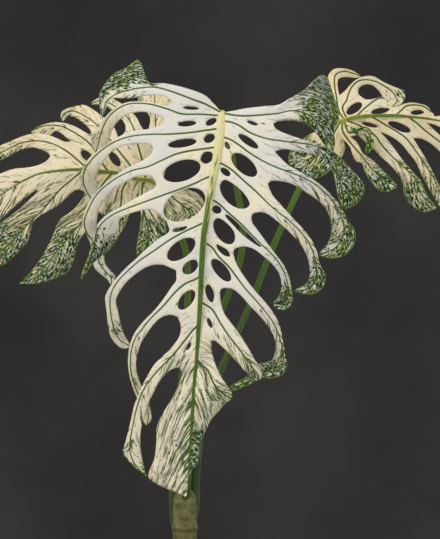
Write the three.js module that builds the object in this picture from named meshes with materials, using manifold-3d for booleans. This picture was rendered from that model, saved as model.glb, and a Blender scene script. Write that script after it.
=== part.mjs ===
// A potted devil monster monstera: three long-petioled, deeply cut and holed leaves
// on a short cane, growing in chunky soil in a plain round pot.
// Millimetres, +Z up, the front of the plant towards -Y, the origin under the middle of the pot.
import * as THREE from 'three';
import { mergeVertices } from 'three/addons/utils/BufferGeometryUtils.js';
import Module from 'manifold-3d';

const wasm = await Module();
wasm.setup();

// Driving dimensions of the pot and the soil
const potHeight = 160;
const potTopRadius = 92;
const potBaseRadius = 66;
const potWall = 2.4;
const rimHeight = 18;
const rimStep = 3.2;
const drainHoleRadius = 5;
const drainHoleCircle = 42;
const drainHoleCount = 6;
const soilLevel = 143;
const soilRelief = 3.4;
const barkChipCount = 22;

// Driving dimensions of the cane and the petioles
const caneTop = 256;
const caneRadius = 13;
const fit = 0.35;
const petioleRadius = 3.6;
const petioleBaseRadius = 6.2;

// Driving dimensions of the blades
const bladeThickness = 1.2;
const marginDrop = 0.12;
const joinedRows = 11;
const freeRows = 8;

// The leaf points stand on one drawing sheet in millimetres, x to the right and y down, as seen
// from 1.5 m in front of the plant. A third number is the distance back from the front leaf.
const viewDistance = 1500;
const sheetCentre = { x: 220, y: 269.5 };
const worldCentre = { x: 38, z: 492.5 };
const frontLeafY = -120;

function place([x, y, back]) {
  const reach = (viewDistance + back) / viewDistance;
  return new THREE.Vector3(
    worldCentre.x + (x - sheetCentre.x) * reach,
    frontLeafY + back,
    worldCentre.z - (y - sheetCentre.y) * reach,
  );
}

const smoothCurve = (points) => new THREE.CatmullRomCurve3(points, false, 'centripetal');

// A seeded random number between 0 and 1
function seededRandom(seed) {
  let state = seed;
  return () => {
    state = (state * 1664525 + 1013904223) % 4294967296;
    return state / 4294967296;
  };
}

// The front leaf. Each line is a side vein: where it leaves the midrib (mm from the petiole), the
// points it runs through, and its lobe's two edges, `before` towards the leaf's base and `after`
// towards its apex. `head` is the inner end of the gap that follows the line, and each hole between
// two veins has its inner end, its outer end and its width: [x, y, x, y, width].
// A `fused` line and the next one stay joined to their tip, and their slits count from row to row.
const frontLeaf = {
  midrib: [
    [222, 112, 0], [219.5, 140, -5], [212, 184, -10], [203.5, 240, -13],
    [199.3, 317, -11], [194, 389, -5], [190, 450, 4], [187, 497, 12],
  ],
  ribRadius: [3.3, 0.6],
  ribTaper: 0.75,
  sides: [
    [
      {
        root: 1,
        vein: [
          [205, 104, -4], [193.6, 99.8, -7], [172, 91.6, -9], [155, 87.2, -7], [142, 87.8, -3],
          [130, 90, 3], [118, 93.5, 11], [107, 101, 22], [102.5, 119, 38],
        ],
        before: [
          [214, 104], [205, 95.5], [185, 88], [165, 83.5], [148, 82], [144, 72, 3], [138.6, 60, 8],
          [125.8, 68.4, 12], [115.6, 73, 14], [106, 83, 14], [100.5, 92, 10], [99.5, 106, 5],
        ],
        after: [
          [166, 96.8], [154, 95.2], [143, 96], [133, 98], [123, 98.5], [113, 98.5], [107.5, 104],
          [105, 111],
        ],
        head: [172, 102],
        holes: [[199, 108.8, 183, 107.8, 3.2]],
      },
      {
        root: 4,
        vein: [
          [200, 114.3, -5], [181, 113.8, -8], [168, 109.2, -9], [148.8, 104, -8], [129.6, 103.8, -3],
          [117, 109.2, 4], [107.3, 118.8, 14], [101.6, 131.5, 24], [98.5, 143, 33], [96, 153, 42],
        ],
        before: [
          [168, 106], [160, 104.6], [149, 102.3], [139, 101.6], [129, 102], [121, 104.6],
          [113, 109.5], [105.5, 117], [99, 126], [93, 134], [91, 142],
        ],
        after: [
          [163, 118.2], [152, 113.7], [141, 111.8], [126, 115.6], [117, 122.6], [112, 131],
          [108.6, 141], [103, 149],
        ],
        head: [165, 121.5],
        holes: [[216.5, 119, 206, 124.8, 6.5], [196.3, 123, 178, 124.8, 5.6]],
      },
      {
        root: 17,
        vein: [
          [205, 130.5, -6], [188, 132.8, -9], [168, 134.2, -10], [148.8, 134.4, -10],
          [129.6, 136.6, -7], [112.4, 143, 0], [99.7, 152, 8], [89.8, 162, 17], [84, 172, 25],
          [83.5, 183, 32], [87, 192, 38], [92, 199, 44],
        ],
        before: [
          [162, 124], [158, 126.4], [148.8, 129], [129.6, 132], [116, 138.5], [105, 146],
          [95, 153], [86, 162], [81, 173], [81.5, 185], [86, 194],
        ],
        after: [
          [151, 145], [139, 143.6], [129.6, 144.3], [120.7, 146.8], [111, 152.5], [104, 161],
          [98.5, 170], [97, 178], [97.5, 188], [95, 195],
        ],
        head: [153, 148],
        holes: [[214.5, 135.5, 204.3, 141.3, 8.5], [196.5, 141.3, 168.3, 145.5, 8.2]],
      },
      {
        root: 36,
        vein: [
          [200, 149.5, -6], [189, 151, -8], [175, 154.5, -10], [161, 160.8, -11], [147, 167, -11],
          [134, 170, -10], [119.3, 176.5, -6], [108, 184, 0], [98, 193, 8], [90, 206, 17],
          [84.5, 222, 26], [87, 233, 32], [94.5, 243, 39], [98, 253, 44], [99.5, 263, 48],
          [105, 271, 51], [111, 277.5, 53], [111.5, 286, 55],
        ],
        before: [
          [152.5, 152], [149, 156], [140, 162], [127, 168], [117, 174.5], [106, 183], [96, 192.5],
          [88, 204], [82.4, 223], [87, 235], [91, 246], [92.5, 259], [94.5, 268], [101, 274.5],
          [107.5, 279.5],
        ],
        after: [
          [154, 178], [147, 175.6], [136, 176.5], [126, 182], [114, 189], [104, 200.5],
          [98.5, 211], [97, 220], [97, 231], [101.5, 242], [104, 254], [105.5, 264], [110.5, 270.5],
          [115.5, 277],
        ],
        head: [156.5, 184],
        holes: [[212.2, 153, 201.8, 162, 11], [200.2, 165, 163.5, 176.8, 20.5]],
      },
      {
        root: 65,
        vein: [
          [203, 179.5, -6], [196.5, 182.8, -8], [178, 189.8, -11], [158.6, 196.8, -12],
          [141.7, 203, -12], [126.3, 208.7, -9], [113, 214.5, -4], [103, 222, 2], [96.5, 232, 9],
          [94, 244, 16], [91, 258, 24], [86.5, 269, 32], [81, 281.5, 40],
        ],
        before: [
          [155, 187.5], [149, 191], [136, 198], [122, 206.2], [108, 214], [99, 222.5],
          [93.5, 233], [91, 246], [87.5, 259], [82.5, 271],
        ],
        after: [
          [154, 210.5], [147, 209.5], [136, 211.7], [124, 216], [119.5, 220, 3], [119, 228, 7],
          [117, 239, 9], [108, 251, 9], [98, 258.5, 6], [91, 266, 3],
        ],
        head: [160, 214.5],
        holes: [[204, 193.5, 165, 216, 29]],
      },
      {
        root: 106,
        vein: [[196, 220, -8], [186, 225, -9], [176, 226, -10], [166.5, 221.5, -11]],
        minor: true,
        head: [169.5, 229.5],
        holes: [[187, 226.6, 172.5, 231, 5.2]],
      },
      {
        root: 112,
        vein: [
          [195, 227, -7], [183.8, 232, -9], [167, 241.7, -12], [153, 251.5, -13], [140.3, 260, -13],
          [129, 269.8, -11], [119.3, 279.6, -8], [112.5, 290, -3], [110, 301, 3], [111, 315, 10],
          [114, 328, 18], [119, 339, 26], [130.5, 346.5, 34],
        ],
        before: [
          [168.5, 232.5], [158.6, 239], [147, 248.5], [137, 258], [126, 268], [116, 279],
          [108, 290.5], [105.3, 297], [106.5, 310], [108, 324], [111, 337], [117.5, 345.5],
          [124, 348.8],
        ],
        after: [
          [158, 264.5], [149, 266], [139, 271.5], [127.5, 281], [120, 291], [116, 300.5],
          [118.5, 313], [121, 325], [124.5, 335], [128.5, 341.5],
        ],
        head: [164, 265],
        holes: [[194.5, 240, 168, 258.8, 17]],
      },
      {
        root: 138,
        vein: [[196, 255, -9], [188, 260, -10], [181, 264.5, -11], [176, 270.3, -11]],
        minor: true,
        head: [176.3, 274.5],
        holes: [[197, 261.3, 183.5, 273, 12]],
      },
      {
        root: 166,
        vein: [
          [196, 279, -8], [185, 284, -10], [175.4, 292, -12], [164.2, 305, -13], [150.2, 319, -12],
          [143, 328, -9], [135.8, 337.5, -5], [132, 348, 0], [130.5, 359, 5], [131, 371, 11],
          [134, 383, 18], [138.5, 395, 26], [144, 406, 33], [148.5, 415, 38], [147, 426, 42],
        ],
        before: [
          [176.5, 280], [171, 288], [162.8, 300], [153, 312], [144, 321], [136, 331],
          [130.5, 343], [128.2, 358], [129, 372], [133, 388], [138, 400], [142.5, 412],
          [143.5, 421],
        ],
        after: [
          [172, 314.7], [163.8, 316], [156, 321.5], [148.6, 331], [142, 341], [138, 352],
          [136, 364], [138, 376], [142.5, 388], [147, 398], [151, 410], [151.7, 418],
        ],
        head: [178, 317],
        holes: [[193.8, 290.8, 179.3, 309, 12.5]],
      },
      {
        root: 215,
        vein: [
          [193, 330, -9], [186, 339, -11], [179, 347.8, -12], [169.3, 359, -12], [159.7, 368.6, -11],
          [150.2, 379.7, -8], [142.2, 392.5, -4], [136, 411, 1], [132.5, 427.6, 5], [130, 443, 9],
          [131, 456, 13], [137, 467, 17], [147, 477.5, 22],
        ],
        before: [
          [181, 325.5], [180, 335], [173, 346], [163, 356], [154.5, 364.5], [147, 377],
          [140.5, 390], [134.5, 405], [130, 424], [126, 440], [123, 452], [128, 460], [138, 470],
        ],
        after: [
          [170.6, 369.8], [162, 378], [155, 389.5], [149, 402], [144, 416.5], [141, 429.5],
          [140.3, 445], [142.7, 461],
        ],
        head: [179.5, 366.8],
        holes: [[190.8, 342.5, 186.5, 350, 3.8]],
      },
      {
        root: 215,
        apex: true,
        before: [
          [182.2, 373], [180, 382], [173, 397], [162.5, 414], [156.8, 427.5], [156.5, 440],
          [154.5, 458], [148.4, 477], [154, 482], [163, 487], [175, 491.5], [182, 495],
        ],
      },
    ],
    [
      {
        root: 1,
        vein: [
          [236, 115.5, -4], [247, 116, -6], [263, 114.8, -8], [278, 113.3, -7], [292, 110.6, -4],
          [304, 113, 1], [314, 119, 8], [321.5, 128, 16], [327, 138, 24], [333.5, 151, 33],
        ],
        before: [
          [230.6, 111.5], [246, 108.5], [264.3, 106.3], [279.6, 104.5], [291.8, 97.5],
          [304, 90.5, 3], [314, 81, 8], [322.4, 75.3, 13], [327.5, 78, 17], [331, 88, 20],
          [335.5, 102, 22], [338.8, 115, 20], [337, 124, 15], [333.5, 131, 9], [335, 143, 3],
        ],
        after: [
          [278, 121.4], [292, 120.4], [303, 122.8], [311, 127.5], [317, 134.5], [323, 143],
          [329, 150],
        ],
        head: [273.4, 123.5],
        holes: [[247, 121.3, 257.5, 125.3, 3.5]],
      },
      {
        root: 9,
        vein: [
          [233, 122.8, -5], [240, 126, -7], [247.7, 131.3, -8], [255.3, 135, -9], [266.8, 138.6, -10],
          [278.3, 140.5, -10], [289.8, 142, -8], [301.3, 143.2, -5], [312.7, 145, 0],
          [323, 149.5, 7], [331.5, 157, 14], [337, 169, 22], [340.5, 184, 29], [343, 198, 35],
          [343.5, 210, 40],
        ],
        before: [
          [274.5, 127.5], [280, 131.3], [287.5, 134.4], [297.4, 137.8], [305, 140.5], [313, 142.8],
          [323, 146], [333, 151.5], [343, 160.5, 1], [352.6, 171, 2], [361, 180, 3],
          [364.5, 188, 3], [360.5, 199, 3], [352, 206.5, 2],
        ],
        after: [
          [283, 149.3], [293.6, 150.4], [305, 152.8], [315, 155], [323, 158.5], [329, 164.5],
          [333, 173], [335.5, 183], [337.5, 196],
        ],
        head: [274.5, 151.5],
        holes: [[238.6, 134.8, 258, 148.2, 7.2]],
      },
      {
        root: 25,
        vein: [
          [230, 139.5, -5], [239, 145, -8], [250.2, 153.3, -10], [264.2, 161.7, -11],
          [278.2, 168, -12], [292.2, 173, -11], [303, 177.5, -8], [314, 183.5, -4],
          [324.2, 191.7, 1], [333, 201.5, 7], [339.5, 212, 13], [343.5, 224, 20], [343, 236, 27],
          [335, 248, 34], [318.5, 254.5, 40],
        ],
        before: [
          [279.5, 157], [288, 165], [300, 172], [306.4, 175.7], [315.3, 181], [323.6, 187.5],
          [331, 195], [338.3, 203.5], [343, 211.5], [348, 221], [355, 232.5, 1], [354, 244.5, 2],
          [345, 255, 2], [334, 258.3, 1], [325, 257.5],
        ],
        after: [
          [270, 181.3], [281, 181.2], [292.2, 184], [302, 189.8], [313.3, 197], [322, 204],
          [328.5, 214], [331.3, 226], [330.5, 236], [326.5, 245], [321, 251],
        ],
        head: [267.7, 184],
        holes: [[225.5, 141.8, 229.5, 149.3, 4.4], [232.3, 154.5, 256, 175.5, 15.5]],
      },
      {
        root: 51.5,
        vein: [
          [224, 165, -5], [232, 170, -8], [243, 180, -10], [255.8, 191.2, -12], [267, 202.4, -13],
          [278.2, 212.2, -13], [289.4, 220.7, -11], [299.3, 230.5, -7], [307.7, 240.8, -2],
          [313, 251.5, 4], [316, 263, 11], [316.5, 275, 18], [312.5, 285, 25], [304, 290, 31],
          [292.5, 290.5, 36],
        ],
        before: [
          [272.6, 195.4], [282.4, 206.5], [292.2, 217.5], [303.5, 229.5], [312, 241], [317.5, 254],
          [319.5, 264], [325, 275, 1], [324.5, 284, 2], [318, 292, 2], [309.5, 294.5, 1],
          [301, 293],
        ],
        after: [
          [260, 212], [267, 213.7], [278.2, 222], [289.4, 232], [300.7, 244], [307, 256],
          [309.8, 268], [309.5, 277], [305.5, 284], [299, 288],
        ],
        head: [254.5, 213],
        holes: [[221, 168.3, 230, 175.5, 6.5]],
      },
      {
        root: 64.5,
        vein: [[226, 178.5, -8], [234, 182.5, -9], [243, 190, -10], [250, 200, -11], [252.5, 214, -12]],
        minor: true,
        head: [251.3, 217.5],
        holes: [[222, 181.3, 248.5, 206.5, 22]],
      },
      {
        root: 88.5,
        vein: [
          [219, 204, -6], [226.3, 210.8, -8], [239, 222, -11], [250.2, 233.3, -12],
          [261.4, 244.5, -12], [271.2, 253.5, -10], [278.7, 262.5, -6], [284.5, 273, -1],
          [287.8, 284, 6], [288.5, 294, 13], [285.5, 302, 20], [279, 304.5, 26], [273.5, 302, 31],
        ],
        before: [
          [252, 222], [258.6, 231.5], [267, 243], [275.4, 254], [284, 265.5], [289, 277.5],
          [291.5, 290], [292.3, 300, 1], [288.5, 308, 2], [281, 310, 2], [274.5, 307, 1],
        ],
        fused: true,
        holes: [[1, 4, 8], [5, 13, 7]],
      },
      {
        root: 105,
        vein: [
          [216, 216, -6], [224, 219, -8], [232, 226, -10], [241, 236, -11], [251, 243, -12],
          [262, 251.5, -12], [271, 259, -10], [278, 268, -6], [283, 279, 0], [284, 290, 8],
          [281, 297, 16], [277, 300, 24], [273.5, 302, 31],
        ],
        after: [
          [243, 246.3], [253, 248.5], [264, 256.5], [273, 264.5], [279, 273], [281.5, 283],
          [280.5, 292], [277.5, 297.5],
        ],
        head: [236, 248],
        holes: [[215.8, 218.8, 232.5, 243.4, 17]],
      },
      {
        root: 126,
        vein: [[212, 240.5, -8], [219, 243.6, -9], [226, 247, -10], [233.8, 250.5, -11]],
        minor: true,
        head: [233.3, 253.5],
        holes: [[216.8, 244.3, 230, 256.5, 7]],
      },
      {
        root: 132.5,
        vein: [
          [212, 247.5, -6], [218, 255.7, -8], [229, 267, -10], [237.5, 278.2, -12],
          [246, 289.4, -13], [256, 300.5, -12], [264, 310, -10], [271, 319, -7], [277, 330, -2],
          [281, 342, 4], [283.5, 354, 10], [282, 366, 17], [273, 372, 23], [256.5, 367.5, 29],
        ],
        before: [
          [236, 262.8], [244.5, 277], [256, 292], [265, 302], [273, 312.5], [279.3, 324.5],
          [282.7, 341], [285, 356], [286.8, 368, 1], [280, 376, 2], [268, 378.3, 1], [260, 376],
        ],
        after: [
          [232, 288.7], [240.3, 295], [250.2, 306], [258.6, 314.5], [268.5, 326.5],
          [274.5, 337.5], [275.8, 348.5], [273, 358.5], [265, 362.5], [258.5, 363.5],
        ],
        head: [223.5, 288],
        holes: [[212.3, 259.5, 230, 281, 12]],
      },
      {
        root: 155,
        vein: [[208, 275, -7], [213.5, 282, -8], [220.8, 289.5, -9]],
        minor: true,
        head: [219.8, 293],
        holes: [[207.3, 284.5, 212.5, 302.5, 8]],
      },
      {
        root: 192,
        vein: [
          [207, 305.5, -6], [212.3, 309.6, -7], [220.3, 323, -9], [228.3, 335, -10],
          [239.4, 349.4, -10], [247.4, 360.6, -8], [254, 370, -4], [254.5, 377.5, 2],
          [246, 382.5, 8], [237, 386.5, 13], [228.5, 390.5, 18],
        ],
        before: [
          [220.7, 302], [224.5, 314], [230, 321.5], [239, 333.5], [247, 346], [254, 358],
          [261, 369.5], [261.5, 377.5, 1], [253, 382.5, 2], [243, 387, 2], [234, 391, 1],
        ],
        after: [
          [214, 340.3], [223.5, 347.8], [233, 357.4], [242.6, 368.6], [248, 374.5], [244, 378.5],
          [236, 382.5], [230, 386.5],
        ],
        head: [210.7, 340.7],
        holes: [[207.5, 318, 212, 328, 4.2]],
      },
      {
        root: 249,
        vein: [
          [199.5, 363, -5], [207.6, 370, -7], [213.5, 383, -8], [220.3, 391.5, -7],
          [231.5, 398.5, -4],
        ],
        before: [[211.8, 352], [216, 366], [222.5, 379], [228.3, 387], [232.3, 394.5]],
        after: [[229.5, 401]],
        head: [226.4, 401.8],
        holes: [],
      },
      {
        root: 249,
        apex: true,
        before: [
          [218, 411.5, 4], [211.8, 418.5, 8], [205.5, 430, 14], [200.5, 441, 22], [199, 452, 26],
          [197.3, 463, 26], [191, 471, 20], [188.3, 481, 10], [187.3, 491, 2],
        ],
      },
    ],
  ],
};

// The left leaf, turned half away: its upper lobes lean back and its lower lobes hang.
const leftLeaf = {
  midrib: [
    [160, 185, 78], [150, 180.7, 70], [136, 178.6, 65], [118, 173.5, 61], [98, 170.8, 58],
    [80.4, 169.5, 57], [62.5, 170.4, 57], [49, 172, 58], [38.4, 174, 60], [24.9, 179.9, 63],
    [14.9, 185.7, 66], [0, 195.7, 71], [-15, 209, 78], [-30, 231, 88], [-41, 258, 100],
    [-46, 284, 114],
  ],
  ribRadius: [3, 0.7],
  ribTaper: 0.35,
  sides: [
    [
      {
        root: 3,
        vein: [
          [158.5, 172, 84], [157.5, 155, 92], [156.5, 138, 100], [155.5, 122, 106], [155, 108, 112],
          [154.5, 92, 120],
        ],
        before: [
          [163, 178], [166, 165], [167, 150], [166.5, 132], [168.5, 118], [172, 105], [169, 95],
          [162, 90],
        ],
        after: [[149.5, 126], [150, 117], [144, 109], [138, 101], [141, 93], [148, 90]],
        head: [146.5, 134],
        holes: [],
      },
      {
        root: 18.5,
        vein: [
          [141.7, 159.4, 76], [137.5, 144, 86], [134.7, 131.5, 93], [130, 121, 99], [121, 111, 105],
          [110, 103.5, 111], [100, 100.5, 117], [90, 104.5, 123],
        ],
        before: [[141, 126], [136.5, 117.5], [129, 109.5], [118, 101.5], [107, 97], [97, 98.5]],
        after: [[125.5, 131], [125, 124], [119, 116.5], [110, 108.5], [102, 105], [96, 104.5]],
        head: [119, 139],
        holes: [],
      },
      {
        root: 29,
        vein: [
          [130.5, 166.5, 72], [117, 149, 82], [106, 135, 90], [99, 127.5, 95], [93.8, 122, 98],
          [87.5, 117.7, 102], [80.4, 113.7, 106], [72, 111, 111], [64, 114, 117], [61.5, 121, 122],
        ],
        before: [
          [115, 129], [109, 122.5], [102.7, 116.5], [93.8, 110], [84, 105], [75, 106.5],
          [66, 109], [61, 113],
        ],
        after: [[90, 129.5], [84.8, 124], [77, 118.5], [70, 116], [66.5, 117.5], [64, 121]],
        head: [91.5, 133.5],
        holes: [[119.5, 166, 109.5, 151.5, 8.5]],
      },
      {
        root: 59,
        vein: [
          [98, 157, 64], [93.8, 149, 69], [89.3, 143.6, 73], [80.4, 136.4, 79], [71.4, 131, 85],
          [62.5, 126.6, 91], [53.6, 125.3, 97], [44, 126, 103], [31, 131, 110],
        ],
        before: [
          [89, 134.3], [83, 131], [76, 127], [67, 123.8], [58, 122.3], [50, 123], [40, 126],
        ],
        after: [[68.5, 139.5], [61, 133], [55, 131], [50.5, 135], [46, 137.5], [39, 136], [33, 133.5]],
        head: [72.5, 141],
        holes: [[92, 161, 81.5, 150.5, 8.5]],
      },
      {
        root: 79,
        vein: [
          [76, 158.8, 62], [67, 151.6, 67], [58, 146.3, 72], [49, 142.7, 76], [40, 141, 81],
          [30, 141.3, 86], [20, 143.5, 92], [8, 149, 98], [-14, 161, 108],
        ],
        before: [
          [66, 142], [58, 138.8], [50, 135.5], [42, 133.5], [34, 133.6], [26.8, 135],
          [13.4, 140], [0, 146], [-8, 153],
        ],
        after: [
          [48, 152.8], [42, 150], [34, 147.6], [26.8, 148.2], [18, 151.6], [9, 156.3],
          [0, 160.5], [-8, 162.5],
        ],
        head: [50.5, 156],
        holes: [],
      },
      {
        root: 79,
        apex: true,
        before: [
          [47, 160.5], [39, 165], [26.8, 167.7], [13.4, 169], [0, 174], [-12, 181], [-25, 196],
          [-37, 216], [-46, 242], [-49, 266],
        ],
      },
    ],
    [
      {
        root: 3,
        vein: [
          [164, 190, 82], [170, 195, 84], [178, 202, 85], [186, 208, 83], [191, 215, 78],
          [186, 222, 72],
        ],
        before: [
          [166, 186], [175, 188], [187, 189.5], [198, 194], [204.5, 203], [204, 213], [198, 220],
        ],
        after: [[165, 211], [168, 219], [175, 225], [181, 225.5]],
        head: [163.5, 205],
        holes: [],
      },
      {
        root: 18,
        vein: [
          [143, 184, 69], [142, 192, 71], [142.5, 205, 72], [146, 220, 72], [149, 235, 71],
          [147, 249, 70], [139.5, 261, 70],
        ],
        before: [[161, 208], [163.5, 216], [167, 229], [164, 240], [158, 249], [149, 257]],
        after: [[139.5, 209], [141, 215], [140, 227], [137.5, 240], [136.5, 252]],
        head: [134, 205],
        holes: [],
      },
      {
        root: 36,
        vein: [
          [124, 186, 63], [122, 191, 64], [121, 203, 67], [118, 218, 70], [114, 232, 74],
          [109, 243, 78],
        ],
        before: [[130, 212], [127, 222], [121.5, 232], [115, 240]],
        after: [[104, 217], [107, 226], [107.5, 236]],
        head: [99, 212],
        holes: [],
      },
      {
        root: 54,
        vein: [
          [106, 180, 61], [101, 187, 63], [94, 200, 66], [88, 212, 68], [79.6, 224.7, 70],
          [70.5, 234.6, 72], [63.8, 243.7, 74], [57, 251, 76], [49.8, 261, 78], [37.3, 272, 82],
          [18.5, 283.5, 88],
        ],
        before: [
          [94, 220.5], [86.5, 231], [80, 239], [77, 248], [74.5, 258], [69, 270.5], [58, 277],
          [45.6, 281.5], [33, 283.8],
        ],
        after: [
          [83.8, 196], [77, 206], [68.8, 213.5], [61, 218.5], [56.8, 225.5], [54, 233],
          [49.5, 243], [41.5, 257.5], [33, 269], [25, 278.3],
        ],
        head: [84.5, 192],
        holes: [],
      },
      {
        root: 84,
        vein: [
          [76, 176, 58], [70.5, 180.7, 59], [59.7, 190, 62], [50, 201.5, 65], [41, 211.5, 68],
          [30, 222, 72], [17, 236, 78], [3, 250, 86], [-14, 263, 95], [-32, 275, 105],
          [-46, 284, 114],
        ],
        before: [
          [80, 189.5], [74.6, 190.7], [67, 197], [58, 205.5], [46.4, 212], [37.5, 217.5],
          [33, 223], [30.7, 231], [28.5, 240], [20.7, 249.6], [12.4, 258], [3, 265.5],
          [-12, 271.5], [-30, 279],
        ],
        fused: true,
        holes: [[13, 15, 5]],
      },
      { root: 84, apex: true },
    ],
  ],
};

// The right leaf, further back: short lobes stand and fold over above, long ones hang below.
const rightLeaf = {
  midrib: [
    [339, 122, 98], [350.7, 118.2, 95], [361.7, 116.4, 93], [372, 115.6, 92], [385, 115.4, 91],
    [398.4, 115.6, 91], [409.4, 116.7, 92], [424, 118.2, 94], [440, 121, 98], [458, 126, 104],
    [478, 135, 112], [497, 148, 121], [512, 164, 131],
  ],
  ribRadius: [3, 0.7],
  ribTaper: 0.35,
  sides: [
    [
      {
        root: 2,
        vein: [[333, 114, 104], [325, 107, 110], [316, 101, 116], [307, 97.5, 122], [298, 97.5, 128]],
        before: [[331, 118], [322, 112], [313, 106.5], [305, 103], [300, 101]],
        after: [[325, 98.5], [317, 94], [309, 92.5], [302, 93.5]],
        head: [331.5, 104],
        holes: [],
      },
      {
        root: 6,
        vein: [
          [338.5, 110, 103], [336.5, 97, 111], [334.5, 85, 119], [335.5, 75, 126], [343, 71.5, 132],
          [352, 73, 137], [362, 77, 142],
        ],
        before: [[330.5, 93], [327.5, 82], [329, 74], [334.5, 69], [343, 68.5], [353, 71]],
        after: [[337.8, 88], [338, 80], [342, 77.5], [349, 77.3], [356, 78]],
        head: [339.5, 95.5],
        holes: [],
      },
      {
        root: 9,
        vein: [
          [342.6, 107.6, 102], [346.3, 101, 106], [348.5, 94.3, 110], [352.5, 86, 115],
          [360, 80.5, 120], [372, 80.5, 125], [384, 86, 129], [393, 93, 131], [397, 101, 131],
          [392, 107, 129],
        ],
        before: [
          [345, 91], [351, 84], [357, 79.3], [364, 76.5], [373, 76.5], [384, 82.5], [395, 87.5],
          [404, 91], [405, 98], [400, 105],
        ],
        after: [
          [358.5, 95], [358.5, 88.5], [364, 84.5], [372, 85], [379, 91], [383, 98], [386, 104.5],
        ],
        head: [365, 99.5],
        holes: [[347, 114, 361.5, 103, 9.5]],
      },
      {
        root: 19,
        vein: [[361.7, 111, 97], [367.6, 106, 101], [374, 101, 105], [380, 98, 109], [385, 99.5, 113]],
        before: [[370, 99.7], [376, 98.2], [381, 97]],
        after: [[386.3, 102.5]],
        head: [386.8, 105],
        holes: [[371.5, 112.4, 390, 108.8, 7]],
      },
      {
        root: 61,
        vein: [
          [402, 109.8, 95], [405, 106.8, 97], [410, 105.3, 100], [417, 105.3, 104], [424, 107, 108],
          [432, 113, 113],
        ],
        before: [[395, 107], [404, 104], [411.6, 102.7], [420, 104], [427, 106.5]],
        after: [[433.5, 115.5]],
        head: [434, 117],
        holes: [[410.5, 113.4, 424.5, 111.4, 6]],
      },
      {
        root: 61,
        apex: true,
        before: [[441, 116], [455, 118], [472, 124], [490, 134], [505, 148], [512, 158]],
      },
    ],
    [
      {
        root: 2,
        vein: [
          [334, 133, 100], [327, 145, 103], [318, 155, 104], [309, 163, 102], [302, 168, 98],
          [297, 171, 94],
        ],
        before: [[332, 124], [322, 129], [309, 135], [297, 143], [289.5, 153], [289.5, 164]],
        after: [
          [345, 147], [343, 155], [339, 162], [331, 170], [322, 176.5], [312, 179], [303, 176.5],
        ],
        head: [343, 139],
        holes: [],
      },
      {
        root: 4,
        vein: [
          [342.6, 130.3, 97], [347, 138, 94], [354, 147, 92], [361, 155, 93], [367, 163, 95],
          [375, 172, 97], [385, 180, 97], [398, 187, 97],
        ],
        before: [
          [350, 147], [353, 156], [356, 161.5], [361.5, 163], [365, 172], [371, 182],
          [378, 189.5], [386, 192], [393, 189.5],
        ],
        after: [
          [356, 141.5], [359.5, 147], [362, 152.5], [367, 156.3], [373, 160.5], [382, 169.5],
          [391, 178.5],
        ],
        head: [350.5, 136.8],
        holes: [],
      },
      {
        root: 5.5,
        vein: [
          [346, 127, 96], [349, 132.8, 92], [353.5, 131.8, 88], [359.5, 130, 86], [366, 130.8, 85],
          [370.2, 136, 86], [370.3, 143, 88], [368.3, 149.5, 91], [365.8, 154.5, 93],
        ],
        before: [[355, 135.8], [360.5, 134.4], [365.3, 137.3], [366.6, 143], [365.3, 149]],
        after: [[357.5, 128], [363, 126.3], [369, 128.2], [373.6, 135], [373.5, 143.5], [370.8, 151]],
        head: [352.3, 127.8],
        holes: [[342.8, 124.4, 349, 126.4, 1.8]],
      },
      {
        root: 7,
        vein: [
          [353.6, 123.3, 97], [360, 126, 98], [374.2, 134.7, 100], [381, 144, 102],
          [387.4, 151.6, 103], [395.4, 159.6, 104], [403.5, 166.8, 105], [412.7, 176, 106],
          [418.5, 187, 107], [424, 198, 109], [437, 207.5, 113],
        ],
        before: [
          [360, 137], [366, 142.5], [373, 148.5], [381, 157], [391, 166], [401.6, 180],
          [404.7, 196.7], [410, 203.5], [420, 211], [428, 212],
        ],
        after: [
          [391.4, 144.7], [400.6, 157.5], [411.8, 170.5], [420, 180], [425.3, 191], [430.5, 200],
        ],
        head: [380.4, 132],
        holes: [[362, 122.6, 377.5, 127, 4]],
      },
      {
        root: 34,
        vein: [
          [380, 121.5, 94], [387.4, 126, 95], [398.4, 132.5, 97], [405.7, 138, 99], [413, 147, 101],
          [420, 157, 104], [426.5, 166.5, 107], [433, 177, 110], [439.5, 191, 114],
          [446, 211, 119],
        ],
        before: [
          [390, 136], [399, 142], [408, 152], [416, 162.5], [421, 174], [427, 185.5], [433, 196],
          [439, 206],
        ],
        after: [[418.5, 147], [425.5, 158.5], [432, 170.5], [438.5, 184], [444, 198]],
        head: [413, 138],
        holes: [[388.5, 122.3, 410.5, 131.5, 8]],
      },
      {
        root: 74,
        vein: [
          [416.7, 123, 95], [424, 129.6, 98], [431.4, 135.4, 101], [440, 142, 105], [450, 151, 110],
          [459, 163, 115], [466, 178, 121], [469, 194, 127],
        ],
        before: [[421, 138.5], [430, 143], [440, 152], [449, 163], [457, 177], [463.5, 188]],
        after: [[432, 128], [440, 135.5], [451, 144], [462, 156], [470, 171], [472.5, 184]],
        head: [427, 122.8],
        holes: [],
      },
      {
        root: 74,
        apex: true,
        before: [[434, 124.5], [445, 129.5], [460, 136], [478, 145], [495, 155], [506, 162]],
      },
    ],
  ],
};

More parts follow.
